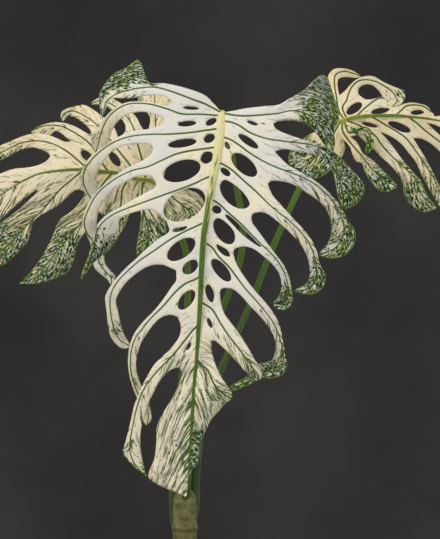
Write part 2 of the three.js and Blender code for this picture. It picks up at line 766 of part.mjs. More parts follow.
// The petioles, from the leaf's base down to the cane
const petiolePaths = {
  front: [
    [222, 113, 5], [223.5, 119, 14], [228, 135, 28], [232, 158, 39], [238, 195, 50], [243, 226, 60],
    [241, 256, 70], [230, 290, 80], [215, 325, 89], [203, 365, 97], [193, 410, 104],
    [187, 455, 108], [185, 500, 112],
  ],
  left: [
    [160.5, 186, 83], [161, 193, 92], [165, 210, 102], [177, 231, 112], [185, 248, 119],
    [188, 275, 125], [187, 315, 129], [183, 365, 130], [178, 415, 130], [174.5, 465, 128],
    [175, 505, 126], [176, 529, 123],
  ],
  right: [
    [338.5, 123, 101.6], [335, 129, 112], [323, 148, 122], [303, 182, 131], [284, 222, 136],
    [270, 254, 138], [256, 290, 139], [241, 325, 139], [225, 360, 138], [210, 395, 136],
    [200, 430, 133], [195.5, 460, 129], [194, 490, 126], [194, 516, 123],
  ],
};

// Meshes and solids

function geometryFrom(positions, triangles) {
  const geometry = new THREE.BufferGeometry();
  geometry.setAttribute('position', new THREE.Float32BufferAttribute(positions, 3));
  geometry.setIndex(triangles);
  return geometry;
}

function solidOf(geometry) {
  const bare = geometry.clone();
  bare.deleteAttribute('normal');
  bare.deleteAttribute('uv');
  const merged = mergeVertices(bare, 1e-4);
  return new wasm.Manifold(new wasm.Mesh({
    numProp: 3,
    vertProperties: new Float32Array(merged.attributes.position.array),
    triVerts: new Uint32Array(merged.index.array),
  }));
}

function geometryOf(solid) {
  const mesh = solid.getMesh();
  return geometryFrom(Array.from(mesh.vertProperties), Array.from(mesh.triVerts));
}

// A closed tube along points, with a radius at each point and a sideways step for each ring
function tube(points, radii, sides) {
  const positions = [];
  const triangles = [];
  let normal = new THREE.Vector3(0, -1, 0);
  points.forEach((point, i) => {
    const ahead = points[Math.min(i + 1, points.length - 1)];
    const behind = points[Math.max(i - 1, 0)];
    const along = ahead.clone().sub(behind).normalize();
    normal = normal.clone().addScaledVector(along, -normal.dot(along)).normalize();
    const across = along.clone().cross(normal);
    for (let k = 0; k < sides; k += 1) {
      const turn = (2 * Math.PI * k) / sides;
      const ring = point.clone()
        .addScaledVector(normal, radii[i] * Math.cos(turn))
        .addScaledVector(across, radii[i] * Math.sin(turn));
      positions.push(ring.x, ring.y, ring.z);
    }
  });
  for (let i = 0; i + 1 < points.length; i += 1) {
    for (let k = 0; k < sides; k += 1) {
      const next = (k + 1) % sides;
      const a = i * sides + k;
      const b = i * sides + next;
      triangles.push(a, b, b + sides, a, b + sides, a + sides);
    }
  }
  const last = (points.length - 1) * sides;
  for (let k = 1; k + 1 < sides; k += 1) {
    triangles.push(0, k + 1, k);
    triangles.push(last, last + k, last + k + 1);
  }
  return geometryFrom(positions, triangles);
}

function sampled(curve, count) {
  return Array.from({ length: count + 1 }, (unused, i) => curve.getPointAt(i / count));
}

// The fraction of a curve's length at which it comes closest to a sheet point
function nearestFraction(curve, [x, y]) {
  const steps = 160;
  let best = 0;
  let shortest = Infinity;
  for (let i = 0; i <= steps; i += 1) {
    const point = curve.getPointAt(i / steps);
    const seen = place([x, y, point.y - frontLeafY]);
    const gap = seen.distanceTo(point);
    if (gap < shortest) {
      shortest = gap;
      best = i / steps;
    }
  }
  return best;
}

// An edge curve from the inner end of a gap to the lobe's tip. Its points lie a little behind the
// vein, by their distance from it, and a third number sets them further back.
function edgeCurve(start, points, curve) {
  const placed = points.map((point) => {
    const onVein = curve.getPointAt(nearestFraction(curve, point));
    const level = onVein.y - frontLeafY;
    const flat = place([point[0], point[1], level]);
    const back = level + marginDrop * flat.distanceTo(onVein) + (point[2] ?? 0);
    return place([point[0], point[1], back]);
  });
  return smoothCurve([start, ...placed, curve.getPointAt(1)]);
}

// The rows across one gap between two veins, from the midrib to the gap's head. Each has its point
// on the gap's middle line, how far along it is, and how wide its hole is there. The rows of a hole
// stand closer together at its rounded ends.
function rowsOfGap(root, head, holes) {
  const plans = { 0: [joinedRows], 1: [2, joinedRows - 4, 2], 2: [1, 4, 1, 4, 1] };
  const level = (point, other) => {
    const part = root.distanceTo(point) / (root.distanceTo(point) + point.distanceTo(other) + 1e-6);
    return root.y + (other.y - root.y) * part - frontLeafY;
  };
  const stops = [root];
  holes.forEach(([x0, y0, x1, y1]) => {
    [[x0, y0], [x1, y1]].forEach(([x, y]) => {
      const flat = place([x, y, root.y - frontLeafY]);
      stops.push(place([x, y, level(flat, head)]));
    });
  });
  stops.push(head);
  const lengths = stops.slice(1).map((stop, i) => stop.distanceTo(stops[i]));
  const total = lengths.reduce((sum, length) => sum + length, 0);
  const rows = [{ u: 0, point: root, open: 0, along: new THREE.Vector3() }];
  let done = 0;
  plans[holes.length].forEach((count, part) => {
    const hole = part % 2 === 1 ? holes[(part - 1) / 2] : null;
    for (let i = 1; i <= count; i += 1) {
      const turn = (Math.PI * i) / count;
      const step = hole ? (1 - Math.cos(turn)) / 2 : i / count;
      const open = hole && i < count ? (hole[4] * Math.sin(turn)) / 2 : 0;
      const point = stops[part].clone().lerp(stops[part + 1], step);
      const along = stops[part + 1].clone().sub(stops[part]).normalize();
      rows.push({ u: (done + lengths[part] * step) / total, point, open, along });
    }
    done += lengths[part];
  });
  return rows;
}

// One half of a blade as a thin closed solid: strips of tissue along each vein, which meet between
// the veins except at the holes and stand free beyond the heads of the gaps.
function halfBlade(leaf, lines, midribCurve) {
  const midribLength = midribCurve.getLength();
  const rootAt = (root) => midribCurve.getPointAt(Math.min(root / midribLength, 1));
  const half = lines.map((line) => {
    const root = rootAt(line.root);
    if (!line.apex) {
      return { ...line, curve: smoothCurve([root, ...line.vein.map(place)]) };
    }
    const first = line.root / midribLength;
    const rest = Array.from({ length: 13 }, (unused, i) => (
      midribCurve.getPointAt(first + ((1 - first) * i) / 12)
    ));
    return { ...line, curve: smoothCurve(rest) };
  });

  half.forEach((line, i) => {
    const heads = [half[i - 1], line]
      .filter((owner) => owner?.head && !owner.fused)
      .map((owner) => nearestFraction(line.curve, owner.head));
    const mean = heads.reduce((sum, value) => sum + value, 0) / heads.length;
    line.joint = line.minor ? 1 : Math.min(mean, 0.97);
    if (heads.length === 0) line.joint = half[i - 1].joint;
  });

  // The head, the middle line and the rows of the gap after each line
  half.slice(0, -1).forEach((line, i) => {
    const next = half[i + 1];
    if (line.fused) return;
    const ends = line.curve.getPointAt(line.joint).add(next.curve.getPointAt(next.joint)).multiplyScalar(0.5);
    const back = ends.y - frontLeafY + (line.head[2] ?? 0);
    line.headPoint = place([line.head[0], line.head[1], back]);
    line.rows = rowsOfGap(rootAt((line.root + next.root) / 2), line.headPoint, line.holes);
  });

  // Where each row sits on each vein
  half.forEach((line, i) => {
    const own = [half[i - 1], line].filter((owner) => owner?.rows);
    const gaps = own.length > 0 ? own : [half[i - 2]];
    const loose = line.minor ? 0 : freeRows;
    line.at = [];
    for (let j = 0; j <= joinedRows; j += 1) {
      const mean = gaps.reduce((sum, gap) => sum + gap.rows[j].u, 0) / gaps.length;
      line.at.push(line.joint * mean);
    }
    for (let j = 1; j <= loose; j += 1) {
      const eased = 0.6 * (j / loose) + 0.2 * (1 - Math.cos((Math.PI * j) / loose));
      line.at.push(line.joint + (1 - line.joint) * eased);
    }
    line.points = line.at.map((fraction) => line.curve.getPointAt(Math.min(fraction, 1)));
  });

  // The inner ends reach past the middle of the midrib, so that both halves join inside it
  const overlap = 0.5;
  half.forEach((line) => {
    if (line.apex) {
      const last = line.points.length - 1;
      const away = half[0].points[3].clone().sub(half[0].points[0]).normalize();
      line.points.forEach((point, j) => {
        const along = line.curve.getTangentAt(Math.min(line.at[j], 1));
        const side = away.clone().addScaledVector(along, -away.dot(along)).normalize();
        if (j < last) point.addScaledVector(side, -overlap);
      });
    } else {
      const inwards = line.points[0].clone().sub(line.points[2]).normalize();
      line.points[0].addScaledVector(inwards, overlap);
    }
  });

  const vertices = [];
  const found = new Map();
  const faces = [];
  function vertex(point) {
    const key = [point.x, point.y, point.z].map((value) => Math.round(value * 200)).join();
    if (!found.has(key)) {
      found.set(key, vertices.length);
      vertices.push(point.clone());
    }
    return found.get(key);
  }
  function face(a, b, c) {
    if (a !== b && b !== c && a !== c) faces.push([a, b, c]);
  }
  // A strip of quads between two rows of points that run outwards side by side
  function strip(first, second) {
    for (let j = 0; j + 1 < first.length; j += 1) {
      const [a, b, c, d] = [first[j], first[j + 1], second[j + 1], second[j]].map(vertex);
      face(a, b, c);
      face(a, c, d);
    }
  }

  half.forEach((line, i) => {
    if (i === 0) {
      const edge = edgeCurve(line.points[0], line.before, line.curve);
      const outer = line.at.map((fraction) => edge.getPointAt(Math.min(fraction, 1)));
      outer[0] = line.points[0];
      strip(outer, line.points);
    }
    const next = half[i + 1];
    if (!next) return;
    if (line.fused) {
      const openAt = (j) => {
        const hole = line.holes.find(([from, to]) => j > from && j < to);
        if (!hole) return 0;
        return hole[2] * Math.sin((Math.PI * (j - hole[0])) / (hole[1] - hole[0])) ** 0.5;
      };
      const near = [];
      const far = [];
      line.points.forEach((point, j) => {
        const across = next.points[j].clone().sub(point);
        const share = Math.min(openAt(j) / (across.length() + 1e-6), 0.6) / 2;
        near.push(point.clone().addScaledVector(across, 0.5 - share));
        far.push(point.clone().addScaledVector(across, 0.5 + share));
      });
      strip(line.points, near);
      strip(far, next.points);
      return;
    }
    const near = [];
    const far = [];
    line.rows.forEach((row, j) => {
      const a = line.points[j];
      const b = next.points[j];
      const level = (a.y + b.y) / 2;
      const middle = row.point.clone().setY(THREE.MathUtils.lerp(level, row.point.y, 0.5));
      const across = b.clone().sub(a);
      across.addScaledVector(row.along, -across.dot(row.along)).normalize();
      const room = 0.85 * Math.min(middle.clone().sub(a).dot(across), b.clone().sub(middle).dot(across));
      const open = Math.max(Math.min(row.open, room), 0);
      near.push(middle.clone().addScaledVector(across, -open));
      far.push(middle.clone().addScaledVector(across, open));
    });
    near[joinedRows] = line.headPoint;
    far[joinedRows] = line.headPoint;
    strip(line.points.slice(0, joinedRows + 1), near);
    strip(far, next.points.slice(0, joinedRows + 1));

    const lobes = [[line, line.after, true], [next, next.before, false]];
    lobes.forEach(([owner, points, first]) => {
      if (owner.minor) return;
      const edge = edgeCurve(line.headPoint, points, owner.curve);
      const loose = owner.points.slice(joinedRows);
      const outer = owner.at.slice(joinedRows).map((fraction) => (
        edge.getPointAt(Math.min((fraction - owner.joint) / (1 - owner.joint), 1))
      ));
      outer[outer.length - 1] = loose[loose.length - 1];
      if (first) strip(loose, outer);
      else strip(outer, loose);
    });
  });
  return thickened(vertices, faces);
}

// A sheet of triangles given its thickness: both faces split alike, with a rim along open edges
function thickened(vertices, faces) {
  const normals = vertices.map(() => new THREE.Vector3());
  faces.forEach(([a, b, c]) => {
    const ab = vertices[b].clone().sub(vertices[a]);
    const ac = vertices[c].clone().sub(vertices[a]);
    const normal = ab.cross(ac);
    [a, b, c].forEach((corner) => normals[corner].add(normal));
  });
  const positions = [];
  vertices.forEach((point, i) => {
    const step = normals[i].normalize().multiplyScalar(bladeThickness / 2);
    const top = point.clone().add(step);
    const under = point.clone().sub(step);
    positions.push(top.x, top.y, top.z, under.x, under.y, under.z);
  });
  const triangles = [];
  const edges = new Map();
  faces.forEach(([a, b, c]) => {
    triangles.push(2 * a, 2 * b, 2 * c, 2 * a + 1, 2 * c + 1, 2 * b + 1);
    [[a, b], [b, c], [c, a]].forEach(([from, to]) => edges.set(`${from},${to}`, [from, to]));
  });
  edges.forEach(([from, to]) => {
    if (edges.has(`${to},${from}`)) return;
    triangles.push(2 * to, 2 * from, 2 * from + 1, 2 * to, 2 * from + 1, 2 * to + 1);
  });
  return geometryFrom(positions, triangles);
}

// A whole blade: both halves joined by the midrib, which stands out more behind than in front
function blade(leaf) {
  const midribCurve = smoothCurve(leaf.midrib.map(place));
  const halves = leaf.sides.map((lines) => solidOf(halfBlade(leaf, lines, midribCurve)));
  const steps = 30;
  const ribEnd = 0.985;
  const points = sampled(midribCurve, steps).slice(0, steps);
  points.push(midribCurve.getPointAt(ribEnd));
  const radii = points.map((unused, i) => {
    const [thick, thin] = leaf.ribRadius;
    return thick + (thin - thick) * Math.min(i / steps, 1) ** leaf.ribTaper;
  });
  points.forEach((point, i) => {
    point.y += 0.1 * radii[i];
  });
  const rib = solidOf(tube(points, radii, 8));
  return halves[0].add(halves[1]).add(rib);
}

// A petiole: a slim stalk with a knee under the blade and a thick sheathed foot on the cane
function petioleRadii(count, extra) {
  return Array.from({ length: count + 1 }, (unused, i) => {
    const part = i / count;
    const knee = 0.9 * Math.exp(-(((part - 0.03) / 0.03) ** 2));
    const foot = THREE.MathUtils.smoothstep(part, 0.55, 0.92) - THREE.MathUtils.smoothstep(part, 0.96, 1.02);
    return petioleRadius * (0.9 + 0.1 * part) + knee + (petioleBaseRadius - petioleRadius) * foot + extra;
  });
}

function petiole(path, extra) {
  const steps = 28;
  const points = sampled(smoothCurve(path.map(place)), steps);
  const longer = (end, before) => end.addScaledVector(end.clone().sub(before).normalize(), extra);
  longer(points[0], points[1]);
  longer(points[steps], points[steps - 1]);
  return solidOf(tube(points, petioleRadii(steps, extra), 8));
}

const petioles = {};
const petioleRoom = {};
Object.entries(petiolePaths).forEach(([name, path]) => {
  petioles[name] = petiole(path, 0);
  petioleRoom[name] = petiole(path, fit);
});

// The blades end in a snug seat round the top of each petiole
const blades = {
  front: blade(frontLeaf).subtract(petioleRoom.front),
  left: blade(leftLeaf).subtract(petioleRoom.left),
  right: blade(rightLeaf).subtract(petioleRoom.right),
};

// The cane: a short thick stem with ringed leaf scars, and three aerial roots down into the soil.
// With `extra` it is that much wider all round, for the hole it leaves in the soil.
function cane(extra) {
  const rings = [
    [118, 9], [126, 11.5], [140, 12.4], [158, 12.6], [161, 14], [164, 12.8], [184, 12.8],
    [187, 14.2], [190, 13], [210, 13], [213, 14.4], [216, 13.2], [238, 13], [250, 11],
    [caneTop, 7],
  ];
  const foot = rings[0][0] - extra;
  const profile = rings.map(([z, r]) => new THREE.Vector2((r * caneRadius) / 13 + extra, z));
  profile.unshift(new THREE.Vector2(0, foot), new THREE.Vector2(rings[0][1] + extra, foot));
  profile.push(new THREE.Vector2(0, caneTop));
  const stem = new THREE.LatheGeometry(profile, 16);
  stem.rotateX(Math.PI / 2);
  let solid = solidOf(stem);
  const roots = [
    [[9, -6, 190], [17, -12, 178], [25, -19, 156], [31, -25, 132], [33, -27, 116]],
    [[-10, -3, 165], [-19, -9, 158], [-29, -15, 143], [-34, -18, 126], [-35, -19, 114]],
    [[4, 10, 186], [9, 20, 176], [13, 29, 155], [15, 34, 132], [15, 35, 114]],
  ];
  roots.forEach((points) => {
    const end = points[points.length - 1];
    const path = [...points.slice(0, -1), [end[0], end[1], end[2] - extra]];
    const curve = smoothCurve(path.map((point) => new THREE.Vector3(...point)));
    const radii = Array.from({ length: 11 }, (unused, i) => 3.1 - 0.1 * i + extra);
    solid = solid.add(solidOf(tube(sampled(curve, 10), radii, 8)));
  });
  return solid;
}

// The soil: a plug that fills the pot, with an uneven top and bark chips standing out of it
function soilHeight(x, y) {
  const wave = Math.sin(x * 0.13 + 1.2) * Math.cos(y * 0.16) + 0.6 * Math.sin(x * 0.31 + y * 0.27);
  return soilLevel + (soilRelief * wave) / 1.6;
}

const potInnerRadius = (z) => (
  potBaseRadius - potWall + ((potTopRadius - potBaseRadius) * z) / potHeight
);

function soil() {
  const around = 24;
  const ringsOut = [0.2, 0.4, 0.58, 0.74, 0.88, 1];
  const topRadius = potInnerRadius(soilLevel - 2) - fit;
  const bottomZ = potWall + fit + 1.2;
  const bottomRadius = potInnerRadius(bottomZ) - fit - 1.5;
  const positions = [0, 0, soilHeight(0, 0)];
  const triangles = [];
  ringsOut.forEach((share) => {
    for (let k = 0; k < around; k += 1) {
      const turn = (2 * Math.PI * k) / around;
      const x = topRadius * share * Math.cos(turn);
      const y = topRadius * share * Math.sin(turn);
      positions.push(x, y, share === 1 ? soilLevel - 2 : soilHeight(x, y));
    }
  });
  for (let k = 0; k < around; k += 1) {
    const turn = (2 * Math.PI * k) / around;
    positions.push(bottomRadius * Math.cos(turn), bottomRadius * Math.sin(turn), bottomZ);
  }
  positions.push(0, 0, bottomZ);
  const last = positions.length / 3 - 1;
  for (let k = 0; k < around; k += 1) {
    const next = (k + 1) % around;
    triangles.push(0, 1 + k, 1 + next);
    for (let ring = 0; ring < ringsOut.length; ring += 1) {
      const a = 1 + ring * around + k;
      const b = 1 + ring * around + next;
      triangles.push(a, a + around, b + around, a, b + around, b);
    }
    triangles.push(last, last - around + next, last - around + k);
  }
  let solid = solidOf(geometryFrom(positions, triangles));
  const random = seededRandom(7);
  for (let i = 0; i < barkChipCount; i += 1) {
    const turn = i * 2.39996 + 0.5 * random();
    const out = 24 + 48 * Math.sqrt((i + 0.5) / barkChipCount);
    const size = 5 + 4.5 * random();
    const chip = new THREE.BoxGeometry(size * 1.7, size, size * 0.7);
    chip.rotateZ(Math.PI * random());
    chip.rotateX(0.9 * (random() - 0.5));
    chip.rotateY(0.9 * (random() - 0.5));
    const x = out * Math.cos(turn);
    const y = out * Math.sin(turn);
    chip.translate(x, y, soilHeight(x, y) - 0.05 * size);
    solid = solid.add(solidOf(chip));
  }
  return solid;
}

// The pot: a tapered tub with a stepped rim and drainage holes in its floor
function pot() {
  const outer = (z) => potBaseRadius + ((potTopRadius - potBaseRadius) * z) / potHeight;
  const rimFoot = potHeight - rimHeight;
  const profile = [
    [0, 0], [potBaseRadius - 2, 0], [potBaseRadius, 2], [outer(rimFoot), rimFoot],
    [outer(rimFoot) + rimStep, rimFoot + 2], [outer(potHeight) + rimStep, potHeight - 1.5],
    [outer(potHeight) + rimStep - 1.2, potHeight], [outer(potHeight) - potWall + 0.8, potHeight],
    [outer(potHeight) - potWall, potHeight - 1.5], [potInnerRadius(potWall) - 1, potWall + 1],
    [potInnerRadius(potWall) - 3, potWall], [0, potWall],
  ];
  const shell = new THREE.LatheGeometry(profile.map(([r, z]) => new THREE.Vector2(r, z)), 48);
  shell.rotateX(Math.PI / 2);
  let solid = solidOf(shell);
  for (let i = 0; i < drainHoleCount; i += 1) {
    const turn = (2 * Math.PI * (i + 0.5)) / drainHoleCount;
    const hole = new THREE.CylinderGeometry(drainHoleRadius, drainHoleRadius, 4 * potWall, 12);
    hole.rotateX(Math.PI / 2);
    hole.translate(drainHoleCircle * Math.cos(turn), drainHoleCircle * Math.sin(turn), 0);
    solid = solid.subtract(solidOf(hole));
  }
  return solid;
}

// The cane with plain sockets for the petioles, and the soil with a plain hole for the cane
let socketedCane = cane(0);
Object.values(petioleRoom).forEach((room) => {
  socketedCane = socketedCane.subtract(room);
});

const materials = {
  leafFront: new THREE.MeshStandardMaterial({ color: 0xe6e0d4, roughness: 0.5, metalness: 0 }),
  leafSide: new THREE.MeshStandardMaterial({ color: 0xecd3a2, roughness: 0.5, metalness: 0 }),
  petiole: new THREE.MeshStandardMaterial({ color: 0x5f7d35, roughness: 0.5, metalness: 0 }),
  cane: new THREE.MeshStandardMaterial({ color: 0x6f6a3c, roughness: 0.7, metalness: 0 }),
  soil: new THREE.MeshStandardMaterial({ color: 0x3a2a1e, roughness: 0.95, metalness: 0 }),
  pot: new THREE.MeshStandardMaterial({ color: 0x3f3f40, roughness: 0.55, metalness: 0 }),
};

const plant = new THREE.Group();
function addPiece(name, solid, material) {
  const mesh = new THREE.Mesh(geometryOf(solid), material.clone());
  mesh.name = name;
  plant.add(mesh);
}

addPiece('pot', pot(), materials.pot);
addPiece('soil', soil().subtract(cane(fit)), materials.soil);
addPiece('cane', socketedCane, materials.cane);
Object.keys(petioles).forEach((name) => {
  addPiece(`petiole_${name}`, petioles[name], materials.petiole);
  addPiece(`leaf_${name}`, blades[name], name === 'front' ? materials.leafFront : materials.leafSide);
});

export default plant;
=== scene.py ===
# Potted devil monster monstera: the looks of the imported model, in metres, the front towards -Y.
import math

import bpy
import numpy as np
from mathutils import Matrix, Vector
from mathutils.geometry import delaunay_2d_cdt


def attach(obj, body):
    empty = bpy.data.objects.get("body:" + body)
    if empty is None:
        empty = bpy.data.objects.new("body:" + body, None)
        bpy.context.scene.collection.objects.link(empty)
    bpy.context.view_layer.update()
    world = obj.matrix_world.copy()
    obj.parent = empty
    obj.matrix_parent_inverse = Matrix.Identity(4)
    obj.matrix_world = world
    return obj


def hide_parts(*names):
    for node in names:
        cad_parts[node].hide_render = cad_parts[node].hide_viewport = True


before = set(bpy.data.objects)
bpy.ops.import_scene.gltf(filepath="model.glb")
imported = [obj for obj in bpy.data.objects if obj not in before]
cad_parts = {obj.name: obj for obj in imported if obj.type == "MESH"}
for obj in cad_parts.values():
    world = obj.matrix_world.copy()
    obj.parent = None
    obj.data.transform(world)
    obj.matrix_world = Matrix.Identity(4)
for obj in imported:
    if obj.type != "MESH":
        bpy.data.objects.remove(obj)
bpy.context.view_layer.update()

# The leaf points stand on one drawing sheet in millimetres, x to the right and y down, as seen
# from 1.5 m in front of the plant. A third number is the distance back from the front leaf.
sheet = {
    "distance": 1500.0, "height": 539, "x": 220.0, "y": 269.5,
    "worldX": 38.0, "worldZ": 492.5, "frontY": -120.0,
}

# Each leaf has a midrib and two halves. A half lists its side veins from the base to the apex, each
# with where it leaves the midrib (mm along it), the edges before and after it, the head of the gap
# to the next vein, and the holes up to that vein (both ends and the width). A minor vein ends at
# its gaps and a plain one has tissue to its edges, and neither shows. A fused one has no gap behind
# it, the edge of a square one keeps level with its vein, and the apex line is the midrib's own end.
# "mottle" is where along the vein the dark mottling starts, and how strong it gets on the side
# towards the base and towards the apex, "calm" its share beside the vein. The fleck ramps add to the
# density of the streaks between two values of a sheet coordinate or of the distance to the vein.
# "lean" is how steeply the streaks leave a side vein and the midrib.
frontLeafOne = [
    dict(
        root=1, head=[172, 102], calm=0.3, square=True, mottle=(0.3, 1.3, 0.35),
        holes=[[199, 108.8, 183, 107.8, 3.2]],
        vein=[
            [205, 104, -4], [193.6, 99.8, -7], [172, 91.6, -9], [155, 87.2, -7], [142, 87.8, -3],
            [130, 90, 3], [118, 93.5, 11], [107, 101, 22], [102.5, 119, 38],
        ],
        before=[
            [214, 104], [205, 95.5], [185, 88], [165, 83.5], [148, 82], [144, 72, 3], [138.6, 60, 8],
            [125.8, 68.4, 12], [115.6, 73, 14], [106, 83, 14], [100.5, 92, 10], [99.5, 106, 5],
        ],
        after=[
            [166, 96.8], [154, 95.2], [143, 96], [133, 98], [123, 98.5], [113, 98.5], [107.5, 104],
            [105, 111],
        ],
    ),
    dict(
        root=4, head=[165, 121.5], mottle=(0.62, 0.5, 0.4),
        holes=[[216.5, 119, 206, 124.8, 6.5], [196.3, 123, 178, 124.8, 5.6]],
        vein=[
            [200, 114.3, -5], [181, 113.8, -8], [168, 109.2, -9], [148.8, 104, -8], [129.6, 103.8, -3],
            [117, 109.2, 4], [107.3, 118.8, 14], [101.6, 131.5, 24], [98.5, 143, 33], [96, 153, 42],
        ],
        before=[
            [168, 106], [160, 104.6], [149, 102.3], [139, 101.6], [129, 102], [121, 104.6], [113, 109.5],
            [105.5, 117], [99, 126], [93, 134], [91, 142],
        ],
        after=[
            [163, 118.2], [152, 113.7], [141, 111.8], [126, 115.6], [117, 122.6], [112, 131],
            [108.6, 141], [103, 149],
        ],
    ),
    dict(
        root=17, head=[153, 148], mottle=(0.6, 0.42, 0.35),
        holes=[[214.5, 135.5, 204.3, 141.3, 8.5], [196.5, 141.3, 168.3, 145.5, 8.2]],
        vein=[
            [205, 130.5, -6], [188, 132.8, -9], [168, 134.2, -10], [148.8, 134.4, -10],
            [129.6, 136.6, -7], [112.4, 143, 0], [99.7, 152, 8], [89.8, 162, 17], [84, 172, 25],
            [83.5, 183, 32], [87, 192, 38], [92, 199, 44],
        ],
        before=[
            [162, 124], [158, 126.4], [148.8, 129], [129.6, 132], [116, 138.5], [105, 146], [95, 153],
            [86, 162], [81, 173], [81.5, 185], [86, 194],
        ],
        after=[
            [151, 145], [139, 143.6], [129.6, 144.3], [120.7, 146.8], [111, 152.5], [104, 161],
            [98.5, 170], [97, 178], [97.5, 188], [95, 195],
        ],
    ),
    dict(
        root=36, head=[156.5, 184], mottle=(0.6, 0.42, 0.4),
        holes=[[212.2, 153, 201.8, 162, 11], [200.2, 165, 163.5, 176.8, 20.5]],
        vein=[
            [200, 149.5, -6], [189, 151, -8], [175, 154.5, -10], [161, 160.8, -11], [147, 167, -11],
            [134, 170, -10], [119.3, 176.5, -6], [108, 184, 0], [98, 193, 8], [90, 206, 17],
            [84.5, 222, 26], [87, 233, 32], [94.5, 243, 39], [98, 253, 44], [99.5, 263, 48],
            [105, 271, 51], [111, 277.5, 53], [111.5, 286, 55],
        ],
        before=[
            [152.5, 152], [149, 156], [140, 162], [127, 168], [117, 174.5], [106, 183], [96, 192.5],
            [88, 204], [82.4, 223], [87, 235], [91, 246], [92.5, 259], [94.5, 268], [101, 274.5],
            [107.5, 279.5],
        ],
        after=[
            [154, 178], [147, 175.6], [136, 176.5], [126, 182], [114, 189], [104, 200.5], [98.5, 211],
            [97, 220], [97, 231], [101.5, 242], [104, 254], [105.5, 264], [110.5, 270.5], [115.5, 277],
        ],
    ),
    dict(
        root=65, head=[160, 214.5], mottle=(0.5, 0.75, 0.95), holes=[[204, 193.5, 165, 216, 29]],
        vein=[
            [203, 179.5, -6], [196.5, 182.8, -8], [178, 189.8, -11], [158.6, 196.8, -12],
            [141.7, 203, -12], [126.3, 208.7, -9], [113, 214.5, -4], [103, 222, 2], [96.5, 232, 9],
            [94, 244, 16], [91, 258, 24], [86.5, 269, 32], [81, 281.5, 40],
        ],
        before=[
            [155, 187.5], [149, 191], [136, 198], [122, 206.2], [108, 214], [99, 222.5], [93.5, 233],
            [91, 246], [87.5, 259], [82.5, 271],
        ],
        after=[
            [154, 210.5], [147, 209.5], [136, 211.7], [124, 216], [119.5, 220, 3], [119, 228, 7],
            [117, 239, 9], [108, 251, 9], [98, 258.5, 6], [91, 266, 3],
        ],
    ),
    dict(
        root=106, head=[169.5, 229.5], minor=True, mottle=(2, 0, 0),
        holes=[[187, 226.6, 172.5, 231, 5.2]],
        vein=[[196, 220, -8], [186, 225, -9], [176, 226, -10], [166.5, 221.5, -11]],
    ),
    dict(
        root=112, head=[164, 265], mottle=(0.6, 0.35, 0.5), holes=[[194.5, 240, 168, 258.8, 17]],
        vein=[
            [195, 227, -7], [183.8, 232, -9], [167, 241.7, -12], [153, 251.5, -13], [140.3, 260, -13],
            [129, 269.8, -11], [119.3, 279.6, -8], [112.5, 290, -3], [110, 301, 3], [111, 315, 10],
            [114, 328, 18], [119, 339, 26], [130.5, 346.5, 34],
        ],
        before=[
            [168.5, 232.5], [158.6, 239], [147, 248.5], [137, 258], [126, 268], [116, 279], [108, 290.5],
            [105.3, 297], [106.5, 310], [108, 324], [111, 337], [117.5, 345.5], [124, 348.8],
        ],
        after=[
            [158, 264.5], [149, 266], [139, 271.5], [127.5, 281], [120, 291], [116, 300.5], [118.5, 313],
            [121, 325], [124.5, 335], [128.5, 341.5],
        ],
    ),
    dict(
        root=138, head=[176.3, 274.5], minor=True, mottle=(2, 0, 0),
        holes=[[197, 261.3, 183.5, 273, 12]],
        vein=[[196, 255, -9], [188, 260, -10], [181, 264.5, -11], [176, 270.3, -11]],
    ),
    dict(
        root=166, head=[178, 317], mottle=(0.55, 0.55, 0.6), holes=[[193.8, 290.8, 179.3, 309, 12.5]],
        vein=[
            [196, 279, -8], [185, 284, -10], [175.4, 292, -12], [164.2, 305, -13], [150.2, 319, -12],
            [143, 328, -9], [135.8, 337.5, -5], [132, 348, 0], [130.5, 359, 5], [131, 371, 11],
            [134, 383, 18], [138.5, 395, 26], [144, 406, 33], [148.5, 415, 38], [147, 426, 42],
        ],
        before=[
            [176.5, 280], [171, 288], [162.8, 300], [153, 312], [144, 321], [136, 331], [130.5, 343],
            [128.2, 358], [129, 372], [133, 388], [138, 400], [142.5, 412], [143.5, 421],
        ],
        after=[
            [172, 314.7], [163.8, 316], [156, 321.5], [148.6, 331], [142, 341], [138, 352], [136, 364],
            [138, 376], [142.5, 388], [147, 398], [151, 410], [151.7, 418],
        ],
    ),
    dict(
        root=215, head=[179.5, 366.8], mottle=(0.6, 0.6, 0.45), holes=[[190.8, 342.5, 186.5, 350, 3.8]],
        vein=[
            [193, 330, -9], [186, 339, -11], [179, 347.8, -12], [169.3, 359, -12], [159.7, 368.6, -11],
            [150.2, 379.7, -8], [142.2, 392.5, -4], [136, 411, 1], [132.5, 427.6, 5], [130, 443, 9],
            [131, 456, 13], [137, 467, 17], [147, 477.5, 22],
        ],
        before=[
            [181, 325.5], [180, 335], [173, 346], [163, 356], [154.5, 364.5], [147, 377], [140.5, 390],
            [134.5, 405], [130, 424], [126, 440], [123, 452], [128, 460], [138, 470],
        ],
        after=[
            [170.6, 369.8], [162, 378], [155, 389.5], [149, 402], [144, 416.5], [141, 429.5],
            [140.3, 445], [142.7, 461],
        ],
    ),
    dict(
        root=215, apex=True, mottle=(0.35, 0.3, 0.3),
        before=[
            [182.2, 373], [180, 382], [173, 397], [162.5, 414], [156.8, 427.5], [156.5, 440],
            [154.5, 458], [148.4, 477], [154, 482], [163, 487], [175, 491.5], [182, 495],
        ],
    ),
]
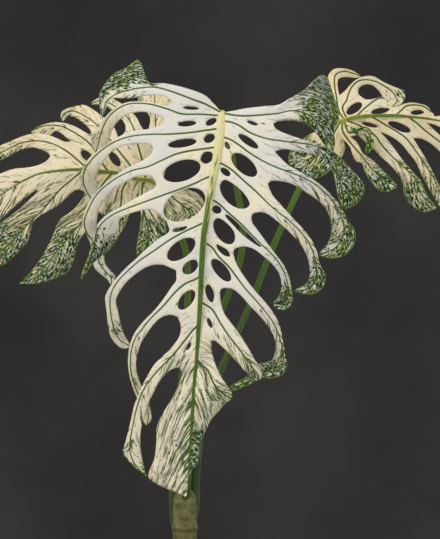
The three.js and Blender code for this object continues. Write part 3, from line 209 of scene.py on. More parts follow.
frontLeafTwo = [
    dict(
        root=1, head=[273.4, 123.5], calm=0.6, mottle=(0.4, 1.05, 0.85),
        holes=[[247, 121.3, 257.5, 125.3, 3.5]],
        vein=[
            [236, 115.5, -4], [247, 116, -6], [263, 114.8, -8], [278, 113.3, -7], [292, 110.6, -4],
            [304, 113, 1], [314, 119, 8], [321.5, 128, 16], [327, 138, 24], [333.5, 151, 33],
        ],
        before=[
            [230.6, 111.5], [246, 108.5], [264.3, 106.3], [279.6, 104.5], [291.8, 97.5], [304, 90.5, 3],
            [314, 81, 8], [322.4, 75.3, 13], [327.5, 78, 17], [331, 88, 20], [335.5, 102, 22],
            [338.8, 115, 20], [337, 124, 15], [333.5, 131, 9], [335, 143, 3],
        ],
        after=[
            [278, 121.4], [292, 120.4], [303, 122.8], [311, 127.5], [317, 134.5], [323, 143], [329, 150],
        ],
    ),
    dict(
        root=9, head=[274.5, 151.5], mottle=(0.42, 1, 0.75), holes=[[238.6, 134.8, 258, 148.2, 7.2]],
        vein=[
            [233, 122.8, -5], [240, 126, -7], [247.7, 131.3, -8], [255.3, 135, -9], [266.8, 138.6, -10],
            [278.3, 140.5, -10], [289.8, 142, -8], [301.3, 143.2, -5], [312.7, 145, 0], [323, 149.5, 7],
            [331.5, 157, 14], [337, 169, 22], [340.5, 184, 29], [343, 198, 35], [343.5, 210, 40],
        ],
        before=[
            [274.5, 127.5], [280, 131.3], [287.5, 134.4], [297.4, 137.8], [305, 140.5], [313, 142.8],
            [323, 146], [333, 151.5], [343, 160.5, 1], [352.6, 171, 2], [361, 180, 3], [364.5, 188, 3],
            [360.5, 199, 3], [352, 206.5, 2],
        ],
        after=[
            [283, 149.3], [293.6, 150.4], [305, 152.8], [315, 155], [323, 158.5], [329, 164.5],
            [333, 173], [335.5, 183], [337.5, 196],
        ],
    ),
    dict(
        root=25, head=[267.7, 184], mottle=(0.42, 0.9, 0.75),
        holes=[[225.5, 141.8, 229.5, 149.3, 4.4], [232.3, 154.5, 256, 175.5, 15.5]],
        vein=[
            [230, 139.5, -5], [239, 145, -8], [250.2, 153.3, -10], [264.2, 161.7, -11],
            [278.2, 168, -12], [292.2, 173, -11], [303, 177.5, -8], [314, 183.5, -4], [324.2, 191.7, 1],
            [333, 201.5, 7], [339.5, 212, 13], [343.5, 224, 20], [343, 236, 27], [335, 248, 34],
            [318.5, 254.5, 40],
        ],
        before=[
            [279.5, 157], [288, 165], [300, 172], [306.4, 175.7], [315.3, 181], [323.6, 187.5],
            [331, 195], [338.3, 203.5], [343, 211.5], [348, 221], [355, 232.5, 1], [354, 244.5, 2],
            [345, 255, 2], [334, 258.3, 1], [325, 257.5],
        ],
        after=[
            [270, 181.3], [281, 181.2], [292.2, 184], [302, 189.8], [313.3, 197], [322, 204],
            [328.5, 214], [331.3, 226], [330.5, 236], [326.5, 245], [321, 251],
        ],
    ),
    dict(
        root=51.5, head=[254.5, 213], mottle=(0.58, 0.85, 0.7), holes=[[221, 168.3, 230, 175.5, 6.5]],
        vein=[
            [224, 165, -5], [232, 170, -8], [243, 180, -10], [255.8, 191.2, -12], [267, 202.4, -13],
            [278.2, 212.2, -13], [289.4, 220.7, -11], [299.3, 230.5, -7], [307.7, 240.8, -2],
            [313, 251.5, 4], [316, 263, 11], [316.5, 275, 18], [312.5, 285, 25], [304, 290, 31],
            [292.5, 290.5, 36],
        ],
        before=[
            [272.6, 195.4], [282.4, 206.5], [292.2, 217.5], [303.5, 229.5], [312, 241], [317.5, 254],
            [319.5, 264], [325, 275, 1], [324.5, 284, 2], [318, 292, 2], [309.5, 294.5, 1], [301, 293],
        ],
        after=[
            [260, 212], [267, 213.7], [278.2, 222], [289.4, 232], [300.7, 244], [307, 256], [309.8, 268],
            [309.5, 277], [305.5, 284], [299, 288],
        ],
    ),
    dict(
        root=64.5, head=[251.3, 217.5], minor=True, mottle=(2, 0, 0),
        holes=[[222, 181.3, 248.5, 206.5, 22]],
        vein=[[226, 178.5, -8], [234, 182.5, -9], [243, 190, -10], [250, 200, -11], [252.5, 214, -12]],
    ),
    dict(
        root=88.5, fused=True, mottle=(0.55, 0.9, 0.9),
        holes=[[212.3, 207.7, 221.2, 211.5, 8], [225.5, 214.9, 260.6, 247, 7]],
        vein=[
            [219, 204, -6], [226.3, 210.8, -8], [239, 222, -11], [250.2, 233.3, -12],
            [261.4, 244.5, -12], [271.2, 253.5, -10], [278.7, 262.5, -6], [284.5, 273, -1],
            [287.8, 284, 6], [288.5, 294, 13], [285.5, 302, 20], [279, 304.5, 26], [273.5, 302, 31],
        ],
        before=[
            [252, 222], [258.6, 231.5], [267, 243], [275.4, 254], [284, 265.5], [289, 277.5],
            [291.5, 290], [292.3, 300, 1], [288.5, 308, 2], [281, 310, 2], [274.5, 307, 1],
        ],
    ),
    dict(
        root=105, head=[236, 248], plain=True, mottle=(0.55, 0.9, 0.9),
        holes=[[215.8, 218.8, 232.5, 243.4, 17]],
        vein=[
            [216, 216, -6], [224, 219, -8], [232, 226, -10], [241, 236, -11], [251, 243, -12],
            [262, 251.5, -12], [271, 259, -10], [278, 268, -6], [283, 279, 0], [284, 290, 8],
            [281, 297, 16], [277, 300, 24], [273.5, 302, 31],
        ],
        after=[
            [243, 246.3], [253, 248.5], [264, 256.5], [273, 264.5], [279, 273], [281.5, 283],
            [280.5, 292], [277.5, 297.5],
        ],
    ),
    dict(
        root=126, head=[233.3, 253.5], minor=True, mottle=(2, 0, 0),
        holes=[[216.8, 244.3, 230, 256.5, 7]],
        vein=[[212, 240.5, -8], [219, 243.6, -9], [226, 247, -10], [233.8, 250.5, -11]],
    ),
    dict(
        root=132.5, head=[223.5, 288], mottle=(0.6, 0.85, 0.8), holes=[[212.3, 259.5, 230, 281, 12]],
        vein=[
            [212, 247.5, -6], [218, 255.7, -8], [229, 267, -10], [237.5, 278.2, -12], [246, 289.4, -13],
            [256, 300.5, -12], [264, 310, -10], [271, 319, -7], [277, 330, -2], [281, 342, 4],
            [283.5, 354, 10], [282, 366, 17], [273, 372, 23], [256.5, 367.5, 29],
        ],
        before=[
            [236, 262.8], [244.5, 277], [256, 292], [265, 302], [273, 312.5], [279.3, 324.5],
            [282.7, 341], [285, 356], [286.8, 368, 1], [280, 376, 2], [268, 378.3, 1], [260, 376],
        ],
        after=[
            [232, 288.7], [240.3, 295], [250.2, 306], [258.6, 314.5], [268.5, 326.5], [274.5, 337.5],
            [275.8, 348.5], [273, 358.5], [265, 362.5], [258.5, 363.5],
        ],
    ),
    dict(
        root=155, head=[219.8, 293], minor=True, mottle=(2, 0, 0),
        holes=[[207.3, 284.5, 212.5, 302.5, 8]],
        vein=[[208, 275, -7], [213.5, 282, -8], [220.8, 289.5, -9]],
    ),
    dict(
        root=192, head=[210.7, 340.7], mottle=(0.55, 0.8, 0.8), holes=[[207.5, 318, 212, 328, 4.2]],
        vein=[
            [207, 305.5, -6], [212.3, 309.6, -7], [220.3, 323, -9], [228.3, 335, -10],
            [239.4, 349.4, -10], [247.4, 360.6, -8], [254, 370, -4], [254.5, 377.5, 2], [246, 382.5, 8],
            [237, 386.5, 13], [228.5, 390.5, 18],
        ],
        before=[
            [220.7, 302], [224.5, 314], [230, 321.5], [239, 333.5], [247, 346], [254, 358], [261, 369.5],
            [261.5, 377.5, 1], [253, 382.5, 2], [243, 387, 2], [234, 391, 1],
        ],
        after=[
            [214, 340.3], [223.5, 347.8], [233, 357.4], [242.6, 368.6], [248, 374.5], [244, 378.5],
            [236, 382.5], [230, 386.5],
        ],
    ),
    dict(
        root=249, head=[226.4, 401.8], mottle=(0.5, 0.5, 0.5),
        vein=[
            [199.5, 363, -5], [207.6, 370, -7], [213.5, 383, -8], [220.3, 391.5, -7], [231.5, 398.5, -4],
        ],
        before=[[211.8, 352], [216, 366], [222.5, 379], [228.3, 387], [232.3, 394.5]],
        after=[[229.5, 401]],
    ),
    dict(
        root=249, apex=True, calm=1.1, mottle=(0.36, 1, 1),
        before=[
            [218, 411.5, 4], [211.8, 418.5, 8], [205.5, 430, 14], [200.5, 441, 22], [199, 452, 26],
            [197.3, 463, 26], [191, 471, 20], [188.3, 481, 10], [187.3, 491, 2],
        ],
    ),
]
frontLeaf = {
    "midrib": [
        [222, 112, 0], [219.5, 140, -5], [212, 184, -10], [203.5, 240, -13], [199.3, 317, -11],
        [194, 389, -5], [190, 450, 4], [187, 497, 12],
    ],
    "fleck": 0.16,
    "fleckRamps": [
        (0.3, [("y", 310, 410), ("x", 150, 172)]), (0.3, [("y", 290, 360)]), (0.4, [("x", 225, 320)]),
        (0.3, [("y", 330, 400), ("x", 160, 176), ("gap", 16, 1)]),
    ],
    "lean": (2.6, 1.3),
    "sides": [frontLeafOne, frontLeafTwo],
}

leftLeafOne = [
    dict(
        root=3, head=[146.5, 134], mottle=(0.6, 0.4, 0.4),
        vein=[
            [158.5, 172, 84], [157.5, 155, 92], [156.5, 138, 100], [155.5, 122, 106], [155, 108, 112],
            [154.5, 92, 120],
        ],
        before=[
            [163, 178], [166, 165], [167, 150], [166.5, 132], [168.5, 118], [172, 105], [169, 95],
            [162, 90],
        ],
        after=[[149.5, 126], [150, 117], [144, 109], [138, 101], [141, 93], [148, 90]],
    ),
    dict(
        root=18.5, head=[119, 139], mottle=(0.6, 0.35, 0.35),
        vein=[
            [141.7, 159.4, 76], [137.5, 144, 86], [134.7, 131.5, 93], [130, 121, 99], [121, 111, 105],
            [110, 103.5, 111], [100, 100.5, 117], [90, 104.5, 123],
        ],
        before=[[141, 126], [136.5, 117.5], [129, 109.5], [118, 101.5], [107, 97], [97, 98.5]],
        after=[[125.5, 131], [125, 124], [119, 116.5], [110, 108.5], [102, 105], [96, 104.5]],
    ),
    dict(
        root=29, head=[91.5, 133.5], mottle=(0.6, 0.35, 0.35), holes=[[119.5, 166, 109.5, 151.5, 8.5]],
        vein=[
            [130.5, 166.5, 72], [117, 149, 82], [106, 135, 90], [99, 127.5, 95], [93.8, 122, 98],
            [87.5, 117.7, 102], [80.4, 113.7, 106], [72, 111, 111], [64, 114, 117], [61.5, 121, 122],
        ],
        before=[
            [115, 129], [109, 122.5], [102.7, 116.5], [93.8, 110], [84, 105], [75, 106.5], [66, 109],
            [61, 113],
        ],
        after=[[90, 129.5], [84.8, 124], [77, 118.5], [70, 116], [66.5, 117.5], [64, 121]],
    ),
    dict(
        root=59, head=[72.5, 141], mottle=(0.6, 0.4, 0.4), holes=[[92, 161, 81.5, 150.5, 8.5]],
        vein=[
            [98, 157, 64], [93.8, 149, 69], [89.3, 143.6, 73], [80.4, 136.4, 79], [71.4, 131, 85],
            [62.5, 126.6, 91], [53.6, 125.3, 97], [44, 126, 103], [31, 131, 110],
        ],
        before=[[89, 134.3], [83, 131], [76, 127], [67, 123.8], [58, 122.3], [50, 123], [40, 126]],
        after=[[68.5, 139.5], [61, 133], [55, 131], [50.5, 135], [46, 137.5], [39, 136], [33, 133.5]],
    ),
    dict(
        root=79, head=[50.5, 156], mottle=(0.5, 0.45, 0.6),
        vein=[
            [76, 158.8, 62], [67, 151.6, 67], [58, 146.3, 72], [49, 142.7, 76], [40, 141, 81],
            [30, 141.3, 86], [20, 143.5, 92], [8, 149, 98], [-14, 161, 108],
        ],
        before=[
            [66, 142], [58, 138.8], [50, 135.5], [42, 133.5], [34, 133.6], [26.8, 135], [13.4, 140],
            [0, 146], [-8, 153],
        ],
        after=[
            [48, 152.8], [42, 150], [34, 147.6], [26.8, 148.2], [18, 151.6], [9, 156.3], [0, 160.5],
            [-8, 162.5],
        ],
    ),
    dict(
        root=79, apex=True, mottle=(0.5, 0.5, 0.5),
        before=[
            [47, 160.5], [39, 165], [26.8, 167.7], [13.4, 169], [0, 174], [-12, 181], [-25, 196],
            [-37, 216], [-46, 242], [-49, 266],
        ],
    ),
]
leftLeafTwo = [
    dict(
        root=3, head=[163.5, 205], mottle=(0.25, 0.5, 0.5),
        vein=[
            [164, 190, 82], [170, 195, 84], [178, 202, 85], [186, 208, 83], [191, 215, 78],
            [186, 222, 72],
        ],
        before=[[166, 186], [175, 188], [187, 189.5], [198, 194], [204.5, 203], [204, 213], [198, 220]],
        after=[[165, 211], [168, 219], [175, 225], [181, 225.5]],
    ),
    dict(
        root=18, head=[134, 205], mottle=(0.35, 0.8, 0.8),
        vein=[
            [143, 184, 69], [142, 192, 71], [142.5, 205, 72], [146, 220, 72], [149, 235, 71],
            [147, 249, 70], [139.5, 261, 70],
        ],
        before=[[161, 208], [163.5, 216], [167, 229], [164, 240], [158, 249], [149, 257]],
        after=[[139.5, 209], [141, 215], [140, 227], [137.5, 240], [136.5, 252]],
    ),
    dict(
        root=36, head=[99, 212], mottle=(0.35, 0.75, 0.75),
        vein=[
            [124, 186, 63], [122, 191, 64], [121, 203, 67], [118, 218, 70], [114, 232, 74],
            [109, 243, 78],
        ],
        before=[[130, 212], [127, 222], [121.5, 232], [115, 240]],
        after=[[104, 217], [107, 226], [107.5, 236]],
    ),
    dict(
        root=54, head=[84.5, 192], mottle=(0.3, 0.75, 0.7),
        vein=[
            [106, 180, 61], [101, 187, 63], [94, 200, 66], [88, 212, 68], [79.6, 224.7, 70],
            [70.5, 234.6, 72], [63.8, 243.7, 74], [57, 251, 76], [49.8, 261, 78], [37.3, 272, 82],
            [18.5, 283.5, 88],
        ],
        before=[
            [94, 220.5], [86.5, 231], [80, 239], [77, 248], [74.5, 258], [69, 270.5], [58, 277],
            [45.6, 281.5], [33, 283.8],
        ],
        after=[
            [83.8, 196], [77, 206], [68.8, 213.5], [61, 218.5], [56.8, 225.5], [54, 233], [49.5, 243],
            [41.5, 257.5], [33, 269], [25, 278.3],
        ],
    ),
    dict(
        root=84, fused=True, mottle=(0.3, 0.75, 0.6), holes=[[38.9, 190.5, 0.6, 222.8, 5]],
        vein=[
            [76, 176, 58], [70.5, 180.7, 59], [59.7, 190, 62], [50, 201.5, 65], [41, 211.5, 68],
            [30, 222, 72], [17, 236, 78], [3, 250, 86], [-14, 263, 95], [-32, 275, 105], [-46, 284, 114],
        ],
        before=[
            [80, 189.5], [74.6, 190.7], [67, 197], [58, 205.5], [46.4, 212], [37.5, 217.5], [33, 223],
            [30.7, 231], [28.5, 240], [20.7, 249.6], [12.4, 258], [3, 265.5], [-12, 271.5], [-30, 279],
        ],
    ),
    dict(
        root=84, apex=True, mottle=(0.4, 0.6, 0.6),
    ),
]
leftLeaf = {
    "midrib": [
        [160, 185, 78], [150, 180.7, 70], [136, 178.6, 65], [118, 173.5, 61], [98, 170.8, 58],
        [80.4, 169.5, 57], [62.5, 170.4, 57], [49, 172, 58], [38.4, 174, 60], [24.9, 179.9, 63],
        [14.9, 185.7, 66], [0, 195.7, 71], [-15, 209, 78], [-30, 231, 88], [-41, 258, 100],
        [-46, 284, 114],
    ],
    "fleck": 0.42,
    "fleckRamps": [(0.55, [("y", 165, 235)])],
    "lean": (2.2, 1.3),
    "sides": [leftLeafOne, leftLeafTwo],
}

rightLeafOne = [
    dict(
        root=2, head=[331.5, 104], mottle=(0.7, 0.3, 0.3),
        vein=[[333, 114, 104], [325, 107, 110], [316, 101, 116], [307, 97.5, 122], [298, 97.5, 128]],
        before=[[331, 118], [322, 112], [313, 106.5], [305, 103], [300, 101]],
        after=[[325, 98.5], [317, 94], [309, 92.5], [302, 93.5]],
    ),
    dict(
        root=6, head=[339.5, 95.5], mottle=(0.7, 0.3, 0.3),
        vein=[
            [338.5, 110, 103], [336.5, 97, 111], [334.5, 85, 119], [335.5, 75, 126], [343, 71.5, 132],
            [352, 73, 137], [362, 77, 142],
        ],
        before=[[330.5, 93], [327.5, 82], [329, 74], [334.5, 69], [343, 68.5], [353, 71]],
        after=[[337.8, 88], [338, 80], [342, 77.5], [349, 77.3], [356, 78]],
    ),
    dict(
        root=9, head=[365, 99.5], mottle=(0.6, 0.4, 0.35), holes=[[347, 114, 361.5, 103, 9.5]],
        vein=[
            [342.6, 107.6, 102], [346.3, 101, 106], [348.5, 94.3, 110], [352.5, 86, 115],
            [360, 80.5, 120], [372, 80.5, 125], [384, 86, 129], [393, 93, 131], [397, 101, 131],
            [392, 107, 129],
        ],
        before=[
            [345, 91], [351, 84], [357, 79.3], [364, 76.5], [373, 76.5], [384, 82.5], [395, 87.5],
            [404, 91], [405, 98], [400, 105],
        ],
        after=[[358.5, 95], [358.5, 88.5], [364, 84.5], [372, 85], [379, 91], [383, 98], [386, 104.5]],
    ),
    dict(
        root=19, head=[386.8, 105], mottle=(0.9, 0.1, 0.1), holes=[[371.5, 112.4, 390, 108.8, 7]],
        vein=[[361.7, 111, 97], [367.6, 106, 101], [374, 101, 105], [380, 98, 109], [385, 99.5, 113]],
        before=[[370, 99.7], [376, 98.2], [381, 97]],
        after=[[386.3, 102.5]],
    ),
    dict(
        root=61, head=[434, 117], mottle=(0.8, 0.3, 0.3), holes=[[410.5, 113.4, 424.5, 111.4, 6]],
        vein=[
            [402, 109.8, 95], [405, 106.8, 97], [410, 105.3, 100], [417, 105.3, 104], [424, 107, 108],
            [432, 113, 113],
        ],
        before=[[395, 107], [404, 104], [411.6, 102.7], [420, 104], [427, 106.5]],
        after=[[433.5, 115.5]],
    ),
    dict(
        root=61, apex=True, mottle=(0.7, 0.4, 0.4),
        before=[[441, 116], [455, 118], [472, 124], [490, 134], [505, 148], [512, 158]],
    ),
]
rightLeafTwo = [
    dict(
        root=2, head=[343, 139], mottle=(0.25, 0.9, 0.9),
        vein=[
            [334, 133, 100], [327, 145, 103], [318, 155, 104], [309, 163, 102], [302, 168, 98],
            [297, 171, 94],
        ],
        before=[[332, 124], [322, 129], [309, 135], [297, 143], [289.5, 153], [289.5, 164]],
        after=[[345, 147], [343, 155], [339, 162], [331, 170], [322, 176.5], [312, 179], [303, 176.5]],
    ),
    dict(
        root=4, head=[350.5, 136.8], mottle=(0.4, 0.8, 0.85),
        vein=[
            [342.6, 130.3, 97], [347, 138, 94], [354, 147, 92], [361, 155, 93], [367, 163, 95],
            [375, 172, 97], [385, 180, 97], [398, 187, 97],
        ],
        before=[
            [350, 147], [353, 156], [356, 161.5], [361.5, 163], [365, 172], [371, 182], [378, 189.5],
            [386, 192], [393, 189.5],
        ],
        after=[
            [356, 141.5], [359.5, 147], [362, 152.5], [367, 156.3], [373, 160.5], [382, 169.5],
            [391, 178.5],
        ],
    ),
    dict(
        root=5.5, head=[352.3, 127.8], mottle=(0.1, 0.75, 0.95), holes=[[342.8, 124.4, 349, 126.4, 1.8]],
        vein=[
            [346, 127, 96], [349, 132.8, 92], [353.5, 131.8, 88], [359.5, 130, 86], [366, 130.8, 85],
            [370.2, 136, 86], [370.3, 143, 88], [368.3, 149.5, 91], [365.8, 154.5, 93],
        ],
        before=[[355, 135.8], [360.5, 134.4], [365.3, 137.3], [366.6, 143], [365.3, 149]],
        after=[[357.5, 128], [363, 126.3], [369, 128.2], [373.6, 135], [373.5, 143.5], [370.8, 151]],
    ),
    dict(
        root=7, head=[380.4, 132], mottle=(0.45, 0.8, 0.8), holes=[[362, 122.6, 377.5, 127, 4]],
        vein=[
            [353.6, 123.3, 97], [360, 126, 98], [374.2, 134.7, 100], [381, 144, 102],
            [387.4, 151.6, 103], [395.4, 159.6, 104], [403.5, 166.8, 105], [412.7, 176, 106],
            [418.5, 187, 107], [424, 198, 109], [437, 207.5, 113],
        ],
        before=[
            [360, 137], [366, 142.5], [373, 148.5], [381, 157], [391, 166], [401.6, 180], [404.7, 196.7],
            [410, 203.5], [420, 211], [428, 212],
        ],
        after=[[391.4, 144.7], [400.6, 157.5], [411.8, 170.5], [420, 180], [425.3, 191], [430.5, 200]],
    ),
    dict(
        root=34, head=[413, 138], mottle=(0.5, 0.75, 0.75), holes=[[388.5, 122.3, 410.5, 131.5, 8]],
        vein=[
            [380, 121.5, 94], [387.4, 126, 95], [398.4, 132.5, 97], [405.7, 138, 99], [413, 147, 101],
            [420, 157, 104], [426.5, 166.5, 107], [433, 177, 110], [439.5, 191, 114], [446, 211, 119],
        ],
        before=[
            [390, 136], [399, 142], [408, 152], [416, 162.5], [421, 174], [427, 185.5], [433, 196],
            [439, 206],
        ],
        after=[[418.5, 147], [425.5, 158.5], [432, 170.5], [438.5, 184], [444, 198]],
    ),
    dict(
        root=74, head=[427, 122.8], mottle=(0.6, 0.7, 0.7),
        vein=[
            [416.7, 123, 95], [424, 129.6, 98], [431.4, 135.4, 101], [440, 142, 105], [450, 151, 110],
            [459, 163, 115], [466, 178, 121], [469, 194, 127],
        ],
        before=[[421, 138.5], [430, 143], [440, 152], [449, 163], [457, 177], [463.5, 188]],
        after=[[432, 128], [440, 135.5], [451, 144], [462, 156], [470, 171], [472.5, 184]],
    ),
    dict(
        root=74, apex=True, mottle=(0.7, 0.4, 0.4),
        before=[[434, 124.5], [445, 129.5], [460, 136], [478, 145], [495, 155], [506, 162]],
    ),
]
rightLeaf = {
    "midrib": [
        [339, 122, 98], [350.7, 118.2, 95], [361.7, 116.4, 93], [372, 115.6, 92], [385, 115.4, 91],
        [398.4, 115.6, 91], [409.4, 116.7, 92], [424, 118.2, 94], [440, 121, 98], [458, 126, 104],
        [478, 135, 112], [497, 148, 121], [512, 164, 131],
    ],
    "fleck": 0.26,
    "fleckRamps": [(0.5, [("y", 125, 190)])],
    "lean": (2.2, 1.3),
    "sides": [rightLeafOne, rightLeafTwo],
}


petiolePaths = {
    "front": [
        (222, 113, 5), (223.5, 119, 14), (228, 135, 28), (232, 158, 39), (238, 195, 50), (243, 226, 60),
        (241, 256, 70), (230, 290, 80), (215, 325, 89), (203, 365, 97), (193, 410, 104),
        (187, 455, 108), (185, 500, 112),
    ],
    "left": [
        (160.5, 186, 83), (161, 193, 92), (165, 210, 102), (177, 231, 112), (185, 248, 119),
        (188, 275, 125), (187, 315, 129), (183, 365, 130), (178, 415, 130), (174.5, 465, 128),
        (175, 505, 126), (176, 529, 123),
    ],
    "right": [
        (338.5, 123, 101.6), (335, 129, 112), (323, 148, 122), (303, 182, 131), (284, 222, 136),
        (270, 254, 138), (256, 290, 139), (241, 325, 139), (225, 360, 138), (210, 395, 136),
        (200, 430, 133), (195.5, 460, 129), (194, 490, 126), (194, 516, 123),
    ],
}

blade = {
    "thickness": 0.9,        # mm
    "rowStep": 2.2,          # between points along a vein
    "columns": 5,            # quads between a vein and the edge beside it
    "grain": 2.3,            # between points of the tissue that joins the lobes
    "marginDrop": 0.12,
    "quilting": 0.055,       # how far the tissue rises between the veins
    "ruffle": 0.5,           # waves along the free edges
    "ruffleLength": 3.7,
    "jointGap": 0.4,         # the two halves meet just past the midrib's middle
    "holeGap": 1.6,          # the least tissue beside a hole
    "veinRounds": 160,       # of evening out a vein's depth
    "settling": 4.0,         # creases narrower than this are evened out
    "settlingRounds": 300,
    "ribReach": 6.0,         # the depth is held near the midrib
    "ribHold": 30.0,
    "weld": 500,             # steps per mm, points on the same step become one
    "mottleFade": 0.3,       # share of the vein over which the mottling sets in
    "looseGap": 0.62,        # share of the grain kept free along an outline
    "rowGap": 0.866,         # share of the grain between rows of even triangles
    "sliver": 0.02,          # mm2, flatter triangles are left out
    "headFade": 14,          # the tissue lies flat near the head of a gap
    "ruffleFades": (12, 10),
    "square": (0.92, 0.08),  # shares of the closest and of the even places along the vein
    "rimStep": 1.1,          # between points round a hole
    "rimShrink": 0.96,
    "rimRounds": (40, 6),    # of drawing a hole in, and of rounding it
}
hiddenVein = 10.0            # added to the lean of the streaks where the vein doesn't show


def place(point):
    x, y, back = point
    reach = (sheet["distance"] + back) / sheet["distance"]
    return np.array([
        sheet["worldX"] + (x - sheet["x"]) * reach,
        sheet["frontY"] + back,
        sheet["worldZ"] - (y - sheet["y"]) * reach,
    ])


class SmoothPath:
    # a centripetal Catmull-Rom curve through the points, read by the fraction of its length
    def __init__(self, points):
        p = [np.asarray(q, dtype=float) for q in points]
        p = [2 * p[0] - p[1]] + p + [2 * p[-1] - p[-2]]
        dense = [p[1]]
        for i in range(1, len(p) - 2):
            d0, d1, d2 = (max(np.linalg.norm(p[k + 1] - p[k]), 1e-6) ** 0.5 for k in (i - 1, i, i + 1))
            t1 = ((p[i] - p[i - 1]) / d0 - (p[i + 1] - p[i - 1]) / (d0 + d1) + (p[i + 1] - p[i]) / d1) * d1
            t2 = ((p[i + 1] - p[i]) / d1 - (p[i + 2] - p[i]) / (d1 + d2) + (p[i + 2] - p[i + 1]) / d2) * d1
            for step in range(1, 17):
                s = step / 16
                dense.append(
                    (2 * s ** 3 - 3 * s ** 2 + 1) * p[i] + (s ** 3 - 2 * s ** 2 + s) * t1
                    + (-2 * s ** 3 + 3 * s ** 2) * p[i + 1] + (s ** 3 - s ** 2) * t2
                )
        self.dense = np.array(dense)
        steps = np.linalg.norm(np.diff(self.dense, axis=0), axis=1)
        self.lengths = np.concatenate([[0], np.cumsum(steps)])
        self.length = self.lengths[-1]

    def settle(self, rounds):
        # evens out the depth along the path
        self.dense[:, 1] = smoothed(self.dense[:, 1], rounds)

    def at(self, fraction):
        wanted = np.clip(fraction, 0, 1) * self.length
        return np.stack([np.interp(wanted, self.lengths, self.dense[:, k]) for k in range(3)], axis=-1)

    def nearest(self, point):
        # the fraction at which the path comes closest to a sheet point
        level = self.dense[:, 1] - sheet["frontY"]
        reach = (sheet["distance"] + level) / sheet["distance"]
        dx = sheet["worldX"] + (point[0] - sheet["x"]) * reach - self.dense[:, 0]
        dz = sheet["worldZ"] - (point[1] - sheet["y"]) * reach - self.dense[:, 2]
        return self.lengths[np.argmin(dx * dx + dz * dz)] / self.length


def smoothStep(low, high, value):
    t = np.clip((value - low) / (high - low), 0, 1)
    return t * t * (3 - 2 * t)


def smoothed(values, rounds):
    # evens out a row of numbers, the ends kept
    values = np.array(values, dtype=float)
    for unused in range(rounds):
        values[1:-1] = (values[:-2] + 2 * values[1:-1] + values[2:]) / 4
    return values


def unit(vectors):
    return vectors / (np.linalg.norm(vectors, axis=-1, keepdims=True) + 1e-12)


def edgePath(start, points, path):
    placed = [start]
    for point in points:
        onVein = path.at(path.nearest(point))
        level = onVein[1] - sheet["frontY"]
        flat = place((point[0], point[1], level))
        extra = point[2] if len(point) > 2 else 0
        back = level + blade["marginDrop"] * np.linalg.norm(flat - onVein) + extra
        placed.append(place((point[0], point[1], back)))
    placed.append(path.at(1.0))
    return SmoothPath(placed)


def nearestOn(path, points):
    # for each point: how far along the path it comes closest, the distance, and the path's depth there
    start, step = path.dense[:-1, [0, 2]], np.diff(path.dense[:, [0, 2]], axis=0)
    offset = points[:, None, [0, 2]] - start
    part = np.clip(np.sum(offset * step, axis=2) / (np.sum(step * step, axis=1) + 1e-12), 0, 1)
    gap = np.linalg.norm(offset - part[:, :, None] * step, axis=2)
    best = np.argmin(gap, axis=1)
    row = np.arange(len(points))
    share = part[row, best]
    along = path.lengths[best] + share * (path.lengths[best + 1] - path.lengths[best])
    depth = path.dense[best, 1] + share * (path.dense[best + 1, 1] - path.dense[best, 1])
    return along, gap[row, best], depth


def distances(points, marks):
    return np.min(np.linalg.norm(points[:, None, [0, 2]] - marks[None][:, :, [0, 2]], axis=2), axis=1)


def insideOf(points, outline):
    x, z = points[:, 0:1], points[:, 2:3]
    x0, z0 = outline[:, 0], outline[:, 2]
    x1, z1 = np.roll(x0, -1), np.roll(z0, -1)
    slope = (x1 - x0) / np.where(z1 == z0, 1e-9, z1 - z0)
    return np.sum(((z0 > z) != (z1 > z)) & (x < slope * (z - z0) + x0), axis=1) % 2 == 1


